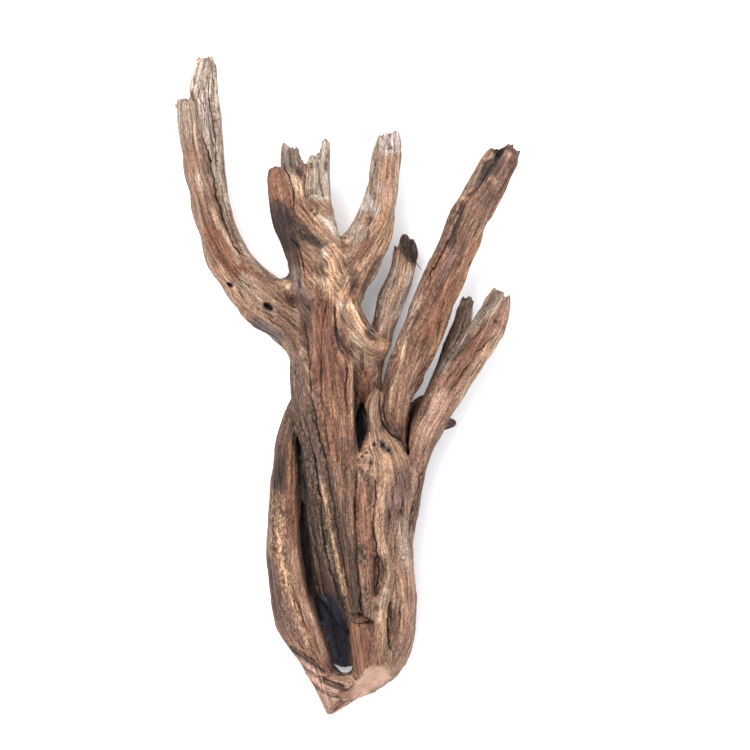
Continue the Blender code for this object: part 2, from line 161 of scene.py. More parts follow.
def blade(rows, floor, tall):
    """A thick blade with the outline of the rows, standing on its floor."""
    bpy.ops.object.select_all(action="DESELECT")
    bpy.ops.mesh.primitive_grid_add(x_subdivisions=1, y_subdivisions=len(rows) - 1, size=1)
    made = bpy.context.object
    for vert in made.data.vertices:
        x, y, half = rows[round((0.5 - vert.co.y) * (len(rows) - 1))]
        vert.co = place(x + math.copysign(half, vert.co.x), y, floor)
    bpy.ops.object.mode_set(mode="EDIT")
    bpy.ops.mesh.select_all(action="SELECT")
    bpy.ops.mesh.extrude_region_move(TRANSFORM_OT_translate={"value": (0, 0, tall * SQUARE)})
    bpy.ops.mesh.select_all(action="SELECT")
    bpy.ops.mesh.normals_make_consistent(inside=False)
    bpy.ops.object.mode_set(mode="OBJECT")
    return made


PAST_THE_TOP = 130  # squares, so that every blade stands out above the wood
for floor, rows in GAPS.values():
    cutter = blade(rows, floor, PAST_THE_TOP)
    apply_modifier(wood, "BOOLEAN", operation="DIFFERENCE", solver="EXACT", object=cutter)
    bpy.data.objects.remove(cutter)
print("gaps:", len(GAPS), "faces:", len(wood.data.polygons))

# %% [markdown]
# ## Wood left in the slot and on the stub
# Low down in the slot a web of rotten wood is left, so that only a little of the floor is
# seen through its lower end; it is coloured near black as painted shade. On the broken stub one
# flat plank still stands, with a rounded top. Both are made in the same way as a blade, but
# joined to the wood, and the next step makes one skin of them all.

# %% Join the web and the plank
# Each: the height of its floor, how tall it is, and its rows as above
LEFT_OVER = {
    "web": (17, 10, [
        (313, 590, 8), (321, 606, 11), (328, 622, 14), (334, 638, 16), (339, 652, 16),
        (342, 664, 14.5), (347.5, 668.5, 5.5),
    ]),
    "plank": (61, 11, [
        (327, 141.5, 1.6), (326.4, 144, 3.2), (325.4, 150, 4.4), (324.6, 157, 5.0),
        (324.2, 168, 5.4),
    ]),
}
for floor, tall, rows in LEFT_OVER.values():
    added = blade(rows, floor, tall)
    select_only(wood, added)
    bpy.ops.object.join()
print("faces with the wood left over:", len(wood.data.polygons))

# %% [markdown]
# ## A fine skin
# The solid has the right form but broad flat facets. Subdividing them would keep them uneven,
# so the skin is rebuilt with small, even faces (a voxel remesh) and smoothed until the facets
# are gone, as a sculptor starts too.

# %% Give it fine faces
apply_modifier(wood, "REMESH", mode="VOXEL", voxel_size=VOXEL)
apply_modifier(wood, "SMOOTH", factor=0.5, iterations=22)
print("faces after the remesh:", len(wood.data.polygons))

# %% [markdown]
# ## Splinters
# Where a branch snapped, the fibres tore at different lengths and left stiff slivers. Pulled
# out of the skin they would be soft and round, so one sliver is modelled from a cube, which is
# cut into sections, narrowed and bent towards its tip. It is copied round each broken end, and
# every copy gets its own length, width and lean. Another remesh then makes one skin of the wood
# and its slivers.

# %% Model one sliver
bpy.ops.object.select_all(action="DESELECT")
bpy.ops.mesh.primitive_cube_add(size=1, location=(0, 0, 0))
sliver = bpy.context.object
bpy.ops.object.mode_set(mode="EDIT")
bpy.ops.mesh.select_all(action="SELECT")
bpy.ops.mesh.subdivide(number_cuts=3)
bpy.ops.object.mode_set(mode="OBJECT")
for vert in sliver.data.vertices:
    rise = vert.co.z + 0.5
    narrow = 1 - 0.75 * max(0, rise - 0.35) ** 1.3
    bend = 0.25 * rise * rise
    vert.co = Vector((vert.co.x * narrow + bend * 0.3, vert.co.y * narrow - bend * 0.2, rise))
print("sliver faces:", len(sliver.data.polygons))

# %% Copy it round the broken ends
# Each end: x, y, height, heading (right, up the sheet), half width, slivers, length, in squares
BROKEN_ENDS = {
    "left rod": (184, 107, 52, (-0.05, 1.0), 9, 4, 7),
    "left blade": (203, 72, 45, (0.15, 1.0), 7, 5, 12),
    "left sliver": (213.5, 68, 41, (0.0, 1.0), 1.5, 1, 13),
    "stub middle": (293, 160, 66, (-0.05, 1.0), 7, 4, 9),
    "stub right": (312, 168, 68, (0.05, 1.0), 7, 4, 8),
    "stub thorn": (324.5, 156, 66, (0.02, 1.0), 4.2, 4, 11),
    "horn": (389, 145, 55, (0.05, 1.0), 9, 6, 9),
    "rear branch": (400, 252, 30, (0.1, 1.0), 5, 3, 8),
    "long branch": (507, 160, 84, (0.5, 0.85), 7, 5, 9),
    "right branch": (499, 303, 62, (0.35, 0.94), 8, 4, 8),
    "spike": (467, 306, 38, (0.3, 0.95), 6, 4, 9),
}
chance = np.random.default_rng(11)
slivers = []
for x, y, height, heading, reach, count, length in BROKEN_ENDS.values():
    way = Vector((*heading, 0)).normalized()
    across = Vector((way.y, -way.x, 0))
    for number in range(count):
        spread = (number + 0.5) / count * 2 - 1 + chance.uniform(-0.15, 0.15)
        lift = chance.uniform(-0.5, 0.5) * math.sqrt(max(0.05, 1 - spread * spread))
        foot = place(x, y, height) + (across * spread + Vector((0, 0, lift))) * reach * SQUARE
        lean = (way + across * spread * 0.05 + Vector((0, 0, lift * 0.05))).normalized()
        wide = chance.uniform(3.6, 5.4) * SQUARE
        thick = chance.uniform(3.0, 4.2) * SQUARE
        long = length * chance.uniform(0.75, 1.15) * SQUARE
        turn = lean.to_track_quat("Z", "Y").to_matrix().to_4x4()
        spin = Matrix.Rotation(chance.uniform(-0.5, 0.5), 4, "Z")
        sizes = Matrix.Diagonal((wide, thick, long, 1))
        select_only(sliver)
        bpy.ops.object.duplicate()
        copy = bpy.context.object
        copy.data.transform(Matrix.Translation(foot) @ turn @ spin @ sizes)
        slivers.append(copy)
bpy.data.objects.remove(sliver)
select_only(wood, *slivers)
bpy.ops.object.join()
apply_modifier(wood, "REMESH", mode="VOXEL", voxel_size=VOXEL)
apply_modifier(wood, "SMOOTH", factor=0.5, iterations=2)
print("slivers:", len(slivers), "faces:", len(wood.data.polygons))

# %% [markdown]
# ## The run of the grain
# Everything on wood follows its grain: furrows, cracks, stains. Laid on flat from above, they
# would smear down the sides. So each limb gets a line down its middle, and every point of the
# skin is given two coordinates on its nearest limb: how far along it lies and how far round.
# This is how a paper label is wrapped round a bottle.

# %% The middle lines of the limbs
# Each point: x, y, height and radius, in squares
SPINES = {
    "left_rod": [(187, 100, 52, 11), (193, 150, 54, 13), (206, 210, 56, 14), (225, 256, 58, 17),
                 (255, 295, 62, 22), (300, 338, 62, 20), (315, 372, 58, 16)],
    "left_blade": [(207, 55, 45, 5), (201, 95, 46, 11), (209, 150, 46, 8), (220, 208, 48, 6),
                   (240, 254, 52, 7), (277, 294, 58, 12)],
    "left_sliver": [(213, 52, 41, 3), (216, 120, 43, 4.5), (221, 180, 44, 5),
                    (231, 228, 48, 4.5), (271, 287, 56, 7)],
    "stub_left": [(276, 166, 80, 8), (280, 200, 82, 12), (292, 242, 76, 13), (306, 292, 70, 14)],
    "stub_middle": [(293, 142, 66, 8), (296, 185, 72, 10), (308, 228, 78, 12),
                    (322, 280, 74, 15)],
    "stub_right": [(317, 140, 68, 8), (317, 195, 72, 14), (324, 238, 72, 16), (329, 262, 72, 17)],
    "stub_core": [(301, 175, 60, 20), (305, 225, 60, 26), (317, 268, 60, 28), (327, 325, 56, 32),
                  (332, 400, 50, 32)],
    "horn_ridge": [(393, 128, 55, 8), (390, 168, 58, 10), (381, 220, 62, 12), (353, 276, 66, 16),
                   (340, 306, 68, 18)],
    "horn_flank": [(383, 130, 50, 5), (377, 168, 51, 9), (367, 220, 54, 13), (342, 268, 60, 18),
                   (333, 296, 62, 22)],
    "knee": [(337, 286, 68, 16), (356, 330, 67, 17), (378, 348, 67, 13), (394, 347, 66, 8)],
    "shank": [(368, 348, 64, 15), (364, 400, 50, 13), (360, 430, 42, 11)],
    "rear_branch": [(405, 234, 30, 9), (403, 269, 31, 13), (391, 303, 35, 13),
                    (380, 342, 42, 13), (366, 400, 46, 14)],
    "long_shaft": [(518, 143, 84, 7), (498, 176, 84, 12), (476, 213, 84, 15), (447, 274, 80, 18),
                   (421, 335, 77, 18), (401, 387, 74, 17), (396, 446, 58, 10)],
    "long_rib": [(496, 145, 80, 4), (476, 178, 80, 5.5), (447, 236, 79, 7), (422, 295, 75, 8),
                 (396, 358, 71, 9), (384, 412, 66, 6)],
    "right_shaft": [(507, 286, 62, 9), (489, 322, 62, 16), (455, 380, 62, 17), (424, 438, 60, 16),
                    (404, 520, 54, 16)],
    "right_spike": [(473, 290, 38, 4), (460, 325, 40, 9), (444, 373, 46, 10), (424, 418, 50, 12)],
    "snag": [(458, 424, 34, 4), (426, 430, 46, 12)],
    "rear_strip": [(425, 450, 40, 6), (411, 524, 41, 7)],
    "tongue": [(379, 386, 80, 3), (371.5, 406, 79, 8), (375, 436, 77, 11)],
    "knot": [(377, 436, 76, 14), (388, 486, 72, 24), (394, 541, 63, 21), (402, 600, 57, 19),
             (396, 654, 38, 15), (376, 690, 36, 10)],
    "chin": [(374, 436, 78, 8), (367, 477, 80, 8)],
    "left_lobe": [(296, 397, 56, 4), (287, 440, 56, 14), (284, 505, 58, 20), (286, 568, 60, 23),
                  (298, 621, 58, 25), (317, 663, 49, 18), (331, 722, 35, 5)],
    "strand_first": [(303, 445, 40, 4), (310, 510, 60, 8), (319, 570, 57, 9), (338, 643, 34, 5)],
    "strand_second": [(297, 362, 66, 7), (303, 420, 73, 8), (316, 505, 72, 8), (334, 592, 63, 8),
                      (346, 634, 42, 5)],
    "strand_third": [(302, 345, 74, 7), (309, 410, 81, 8), (326, 495, 79, 7), (344, 585, 73, 6.5),
                     (352, 624, 56, 5)],
    "strand_fourth": [(314, 330, 82, 6), (321, 430, 85, 7.5), (336, 520, 79, 5.5),
                      (353, 612, 71, 5)],
    "plank": [(323, 285, 82, 11), (329, 345, 91, 14), (338, 400, 92, 15), (343, 465, 90, 14),
              (347, 525, 86, 11), (357, 611, 79, 6)],
    "strand_fifth": [(364, 476, 84, 6), (366, 545, 85, 8.5), (369, 616, 78, 6)],
    "strand_sixth": [(384, 474, 92, 5), (381, 525, 90, 7.5), (388, 566, 85, 7),
                     (381, 605, 81, 8), (379, 650, 61, 9), (380, 680, 42, 10)],
    "heart": [(335, 395, 48, 30), (345, 490, 46, 30), (353, 565, 42, 28), (370, 632, 38, 21)],
    "web": [(298, 415, 40, 12), (302, 500, 24, 15), (314, 630, 28, 14), (320, 660, 34, 14)],
    "sole": [(322, 580, 24, 15), (341, 648, 24, 13)],
    "back_left": [(300, 290, 54, 7), (303, 400, 30, 11), (286, 540, 30, 11), (318, 665, 32, 10)],
    "back_middle": [(318, 240, 62, 7), (322, 360, 26, 12), (326, 520, 18, 12),
                    (366, 640, 22, 12)],
    "back_right": [(346, 285, 60, 7), (352, 400, 24, 12), (362, 540, 18, 12), (378, 645, 26, 12)],
    "back_outer": [(416, 415, 56, 7), (398, 490, 30, 13), (394, 600, 28, 12), (380, 668, 42, 8)],
    "heel": [(345, 600, 24, 13), (347, 661, 16, 15)],
    "shoulder": [(266, 300, 34, 14), (289, 317, 16, 17), (308, 345, 26, 13)],
    "elbow": [(422, 405, 34, 11), (413, 423, 16, 15), (404, 456, 24, 13)],
    "bridge": [(314, 674, 46, 13), (350, 687, 44, 16), (396, 665, 38, 12)],
    "toe": [(330, 708, 36, 8), (372, 686, 44, 17)],
    "block": [(361, 616, 56, 9), (363, 642, 62, 14), (370, 684, 42, 18)],
    "ramp": [(376, 462, 60, 15), (382, 560, 60, 17), (383, 655, 45, 15)],
    "socket": [(385, 388, 50, 10), (398, 470, 50, 17)],
}
STEP = 3 * MM  # between two points of a middle line


def smooth_line(points):
    """Points a step apart on a smooth curve through a limb's points, with the radii."""
    rows = np.array([[*place(x, y, h), r * SQUARE] for x, y, h, r in points])
    knots = np.concatenate([[0], np.cumsum(np.linalg.norm(np.diff(rows[:, :3], axis=0), axis=1))])
    slopes = np.gradient(rows, knots, axis=0)
    at = np.linspace(0, knots[-1], max(3, round(knots[-1] / STEP)))
    after = np.clip(np.searchsorted(knots, at), 1, len(knots) - 1)
    before = after - 1
    span = (knots[after] - knots[before])[:, None]
    t = (at - knots[before])[:, None] / span
    return (
        (2 * t**3 - 3 * t**2 + 1) * rows[before] + (t**3 - 2 * t**2 + t) * span * slopes[before]
        + (3 * t**2 - 2 * t**3) * rows[after] + (t**3 - t**2) * span * slopes[after]
    )


LINES = [smooth_line(points) for points in SPINES.values()]
print("limbs:", len(LINES))

# %% Where a point lies on a limb
FAR_AWAY = 1e9


def on_limb(points, number):
    """For each point: its distance from the limb's middle over the radius, how far along it
    lies, and how far round, from the top, in metres."""
    line = LINES[number]
    start, end = line[:-1, :3], line[1:, :3]
    part = end - start
    lengths = np.linalg.norm(part, axis=1)
    along_at = np.concatenate([[0], np.cumsum(lengths)])
    away = points[:, None, :] - start[None]
    t = np.clip((away * part).sum(2) / (lengths**2), 0, 1)
    gap = np.linalg.norm(away - t[..., None] * part, axis=2)
    best = gap.argmin(1)
    rows = np.arange(len(points))
    t = t[rows, best]
    radius = line[best, 3] * (1 - t) + line[best + 1, 3] * t
    along = along_at[best] + t * lengths[best]
    offset = points - (start[best] + t[:, None] * part[best])
    way = part[best] / lengths[best][:, None]
    side = np.cross([0.0, 0.0, 1.0], way)
    side /= np.maximum(np.linalg.norm(side, axis=1), 1e-9)[:, None]
    up = np.cross(way, side)
    angle = np.arctan2((offset * side).sum(1), (offset * up).sum(1))
    return gap[rows, best] / radius, along, angle, line[:, 3].mean()


def nearest_limbs(points):
    """The nearest limb of each point and the second nearest, with their distances."""
    first = np.full(len(points), -1)
    second = np.full(len(points), -1)
    near = np.full(len(points), FAR_AWAY)
    next_near = np.full(len(points), FAR_AWAY)
    for number, line in enumerate(LINES):
        reach = line[:, 3].max() * 1.7 + 4 * MM
        low, high = line[:, :3].min(0) - reach, line[:, :3].max(0) + reach
        inside = np.flatnonzero(((points > low) & (points < high)).all(1))
        if not len(inside):
            continue
        ratio = on_limb(points[inside], number)[0]
        closer = ratio < near[inside]
        won, lost = inside[closer], inside[~closer]
        next_near[won], second[won] = near[won], first[won]
        near[won], first[won] = ratio[closer], number
        behind = ratio[~closer] < next_near[lost]
        next_near[lost[behind]], second[lost[behind]] = ratio[~closer][behind], number
    first[first < 0] = 0
    second[second < 0] = first[second < 0]
    return first, second, near, next_near


def mesh_points(piece):
    points = np.empty(len(piece.data.vertices) * 3)
    piece.data.vertices.foreach_get("co", points)
    return points.reshape(-1, 3)


def mesh_normals(piece):
    normals = np.empty(len(piece.data.vertices) * 3, np.float32)
    piece.data.vertices.foreach_get("normal", normals)
    return normals.reshape(-1, 3).astype(float)


def set_points(piece, points):
    piece.data.vertices.foreach_set("co", points.ravel())
    piece.data.update()


print("nearest limb:", list(SPINES)[nearest_limbs(np.array([place(190, 160, 54)]))[0][0]])

# %% [markdown]
# ## Noise
# Noise is a field of smooth random bumps. Stretched along the grain it makes furrows. Blender's
# own noise takes one point at a time, which is slow here, so this one takes them all at once.
# It is worked out on a lattice, so that the same place always gets the same bump.

# %% A noise field
# Large numbers that mix up the digits of a corner's place
MIX_X, MIX_Y, MIX_Z, MIX_SEED = 73856093, 19349663, 83492791, 40503


def lattice_value(x, y, z, seed):
    """A fixed random number from -1 to 1 for each corner of the lattice."""
    mixed = (x * MIX_X) ^ (y * MIX_Y) ^ (z * MIX_Z) ^ (seed * MIX_SEED + 977)
    mixed = (mixed ^ (mixed >> 13)) * 1274126177 & 0x7FFFFFFF
    mixed = (mixed ^ (mixed >> 15)) * 668265263 & 0x7FFFFFFF
    return (mixed ^ (mixed >> 14)) % 65536 / 32768 - 1


def noise(x, y, z=0.0, seed=0):
    x, y, z = np.broadcast_arrays(x, y, z)
    cells = [np.floor(a).astype(np.int64) for a in (x, y, z)]
    parts = [a - c for a, c in zip((x, y, z), cells)]
    fades = [p**3 * (p * (p * 6 - 15) + 10) for p in parts]
    total = 0
    for i in (0, 1):
        for j in (0, 1):
            for k in (0, 1):
                weight = (fades[0] if i else 1 - fades[0]) * (fades[1] if j else 1 - fades[1])
                weight = weight * (fades[2] if k else 1 - fades[2])
                total = total + weight * lattice_value(
                    cells[0] + i, cells[1] + j, cells[2] + k, seed
                )
    return total


def stretched_noise(x, y, z, across, along, seed):
    """Noise stretched along the grain; its sizes across and along it are in millimetres."""
    return noise(x / (across * MM), y / (across * MM), z / (along * MM), seed)


def ramp(values, low, high):
    """0 below low, 1 above high, and smooth between."""
    t = np.clip((values - low) / (high - low), 0, 1)
    return t * t * (3 - 2 * t)


print("noise:", noise(np.array([0.3, 5.2]), np.array([1.5, 2.5])))

# %% [markdown]
# ## Furrows and flakes
# Water wears the soft wood between the rings, so the hard wood stands up as long ridges. Thin
# plates of the outer wood are left in places, with sharp edges. A bump in the material would
# leave the outline smooth, so both are moves of the skin along its own normal: narrow grooves
# where the stretched noise crosses zero, and a step where a broader noise is high. Grain flows
# round a knot as water flows round a post, so near a knot the coordinates are bent by the
# formula for that flow. Where two limbs meet, the moves of the two are blended.

# %% Bend the grain round the knots
# Each knot: x, y, radius in squares
KNOTS = [
    (316.5, 216, 4.5), (496.5, 323, 3.0), (379, 346, 6.0), (384, 446, 4.0), (366, 459, 5.0),
    (286, 281, 2.5), (342, 236, 5.0), (388, 150, 2.5), (372, 374, 4.0), (347, 683, 4.0),
    (272, 545, 4.0), (404, 556, 3.0),
]
# On the broken stub the fibres turn aside below its torn end: the place and how much
TURNS = {"stub_core": (200, -0.5), "stub_middle": (206, -0.4), "stub_right": (200, -0.5)}
KNOT_REACH = 6  # radii of a knot out to which the grain bends round it


def height_at(points, x, y):
    """The height of the topmost skin near a place on the grid."""
    spot = place(x, y)
    close = np.hypot(points[:, 0] - spot.x, points[:, 1] - spot.y) < 2 * MM
    return points[close, 2].max()


def grain_of(points, number):
    """The place on the limb's wrapped grain: how far round and how far along in metres, and the
    limb's mean radius."""
    _, along, angle, radius = on_limb(points, number)
    around = angle * radius
    name = list(SPINES)[number]
    if name in TURNS:
        level, turn = TURNS[name]
        x, _, height, _ = SPINES[name][0]
        start = on_limb(np.array([place(x, level, height)]), number)[1]
        around = around + turn * np.maximum(0, along - start)
    for spot, reach in knot_spots:
        near_knot = np.linalg.norm(points - spot, axis=1) < KNOT_REACH * reach
        if not near_knot.any():
            continue
        _, knot_along, knot_angle, _ = on_limb(spot[None], number)
        aside = around[near_knot] - knot_angle * radius
        ahead = along[near_knot] - knot_along
        apart = np.hypot(aside, ahead)
        outside = aside * (1 - (reach / np.maximum(apart, reach)) ** 2)
        inside = reach - apart
        around[near_knot] = knot_angle * radius + np.where(apart > reach, outside, inside)
    return around, along, radius


points = mesh_points(wood)
knot_spots = [
    (np.array([*place(x, y)[:2], height_at(points, x, y)]), r * SQUARE) for x, y, r in KNOTS
]
print("knots:", len(knot_spots))

# %% Raise the relief
SPLIT_EVERY = 22 * MM  # one short drying split to each such length of a limb
LIMB_BLEND = 0.24  # in radii: how gently one limb's relief gives way to the next one's
# Calm spots, where the wood is smoother: x, y and reach in squares
SMOOTH_AREAS = [(366, 460, 14), (371, 682, 24), (362, 648, 16)]


def relief(points, limbs):
    """How far each point moves out of the skin, in metres, by the grain of its limb."""
    moved = np.zeros(len(points))
    for number in np.unique(limbs):
        chosen = np.flatnonzero(limbs == number)
        around, z, radius = grain_of(points[chosen], number)
        x, y = np.cos(around / radius) * radius, np.sin(around / radius) * radius
        seed = 17 * int(number)
        wander = stretched_noise(x, y, z, 14, 35, seed + 5) * 1.5 * MM
        x, y = x + wander, y - wander
        broad = stretched_noise(x, y, z, 7, 90, seed)
        middle = stretched_noise(x, y, z, 3.6, 55, seed + 1)
        fine = stretched_noise(x, y, z, 2.2, 34, seed + 2)
        patchy = ramp(stretched_noise(x, y, z, 16, 30, seed + 3), -0.25, 0.35)
        flake = stretched_noise(x, y, z, 5, 24, seed + 4)
        move = 0.6 * MM * broad + 0.3 * MM * middle + 0.3 * MM * fine
        move -= 0.55 * MM * np.exp(-((broad / 0.08) ** 2)) * patchy
        move -= 0.5 * MM * np.exp(-((middle / 0.14) ** 2)) * (0.2 + 0.8 * patchy)
        move -= 0.35 * MM * np.exp(-((fine / 0.2) ** 2))
        move += 0.5 * MM * ramp(flake, 0.1, 0.17)
        splits = np.random.default_rng(300 + int(number))
        for _ in range(round(np.ptp(z) / SPLIT_EVERY)):
            middle_z, half = splits.uniform(z.min(), z.max()), splits.uniform(10, 32) * MM
            middle_w = splits.uniform(0.42, 1.58) * np.pi * radius
            bent = middle_w + 1.2 * MM * noise(z / (9 * MM), middle_w * 900, 0, seed + 9)
            half_way, girth = np.pi * radius, 2 * np.pi * radius
            apart = np.abs((around - bent + half_way) % girth - half_way)
            wide = 0.9 * MM * np.clip(1 - np.abs(z - middle_z) / half, 0, 1) ** 0.5
            profile = np.clip(1 - apart / np.maximum(wide, 1e-6), 0, 1)
            move -= splits.uniform(1.0, 2.6) * MM * profile
        moved[chosen] = move
    return moved


first, second, near, next_near = nearest_limbs(points)
blend = np.clip(0.5 - (next_near - near) / LIMB_BLEND, 0, 0.5)
lift = relief(points, first) * (1 - blend) + relief(points, second) * blend
for x, y, reach in SMOOTH_AREAS:
    spot = place(x, y)
    apart = np.hypot(points[:, 0] - spot.x, points[:, 1] - spot.y)
    lift *= 1 - 0.6 * (1 - ramp(apart, reach * 0.5 * SQUARE, reach * SQUARE))
lift *= ramp(points[:, 2], 0.2 * MM, 3 * MM)
set_points(wood, points + mesh_normals(wood) * lift[:, None])
print(f"relief: {lift.min() / MM:.2f} to {lift.max() / MM:.2f} mm")

# %% [markdown]
# ## Torn ends
# At a broken end each bundle of fibres tore at its own length, and slivers alone would look set
# on. So the skin near the end is moved along the branch by a noise that only changes across the
# branch, and whole bundles move.

# %% Tear the broken ends
TORN_FROM, TORN_FULL, TORN_TO = -9 * MM, 3 * MM, 16 * MM  # along the branch, from its end
MOST_MOVE = 2.6  # millimetres
TORN_REACH = 2.6  # half widths of the end
points = mesh_points(wood)
for order, (x, y, height, heading, reach, _, length) in enumerate(BROKEN_ENDS.values()):
    centre = np.array(place(x, y, height))
    way = np.array(Vector((*heading, 0)).normalized())
    offset = points - centre
    forward = offset @ way
    sideways = offset[:, 0] * way[1] - offset[:, 1] * way[0]
    far = np.hypot(sideways, offset[:, 2]) > TORN_REACH * reach * SQUARE
    weight = ramp(forward, TORN_FROM, TORN_FULL) * (forward < TORN_TO) * ~far
    bundles = noise(sideways / (2.3 * MM), offset[:, 2] / (3.0 * MM), 0, 60 + order)
    points += way * (bundles * weight * MOST_MOVE * MM)[:, None]
set_points(wood, points)
print("torn ends:", len(BROKEN_ENDS))

# %% [markdown]
# ## Cracks, holes and hollows
# Chance wouldn't put the large cracks where this wood has them, so they are drawn one by one as
# lines on the grid, each with its width and depth in millimetres, and the skin is pushed
# straight down under them. Beetle holes and pits are drawn as ovals. Only the side that faces
# up is carved: the height of the topmost skin in each small square tells which points those
# are.

# %% Distances from drawn lines


def line_distance(points, line):
    """Distance in metres across to a drawn line, its side (left negative), and how far from
    the nearer end of the line the nearest place lies."""
    corners = np.array([place(x, y)[:2] for x, y in line])
    part = np.diff(corners, axis=0)
    lengths = np.linalg.norm(part, axis=1)
    starts = np.concatenate([[0], np.cumsum(lengths)])
    away = points[:, None, :2] - corners[None, :-1]
    t = np.clip((away * part).sum(2) / lengths**2, 0, 1)
    gaps = away - t[..., None] * part
    distance = np.linalg.norm(gaps, axis=2)
    best = distance.argmin(1)
    rows = np.arange(len(points))
    side = part[best, 0] * gaps[rows, best, 1] - part[best, 1] * gaps[rows, best, 0]
    at = starts[best] + t[rows, best] * lengths[best]
    return distance[rows, best], np.sign(side), np.minimum(at, starts[-1] - at)


def near_line(points, line, reach):
    """The numbers of the points within reach of a drawn line's box."""
    corners = np.array([place(x, y)[:2] for x, y in line])
    low, high = corners.min(0) - reach, corners.max(0) + reach
    return np.flatnonzero(((points[:, :2] > low) & (points[:, :2] < high)).all(1))


def topmost(points, normals, depth=4 * MM):
    """From 0 to 1: how much each point is part of the skin that is seen from above."""
    cell, cells_in_a_row = 1.5 * MM, 4096
    column = np.floor(points[:, 0] / cell).astype(int) * cells_in_a_row
    column += np.floor(points[:, 1] / cell).astype(int)
    keys, inverse = np.unique(column, return_inverse=True)
    top = np.full(len(keys), -1.0)
    np.maximum.at(top, inverse, points[:, 2])
    below = top[inverse] - points[:, 2]
    return ramp(normals[:, 2], -0.15, 0.2) * (1 - ramp(below, depth, 2 * depth))


def wandering(points):
    """The points moved sideways a little by a noise, which makes a straight line ragged."""
    moved = points.copy()
    for axis in (0, 1):
        wide = noise(points[:, 0] / (7 * MM), points[:, 1] / (7 * MM), 0, 90 + axis)
        fine = noise(points[:, 0] / (2.2 * MM), points[:, 1] / (2.2 * MM), 0, 92 + axis)
        moved[:, axis] += wide * 0.9 * MM + fine * 0.35 * MM
    return moved


print("line test:", line_distance(np.array([place(10, 5)]), [(0, 0), (20, 0)])[0] / SQUARE)

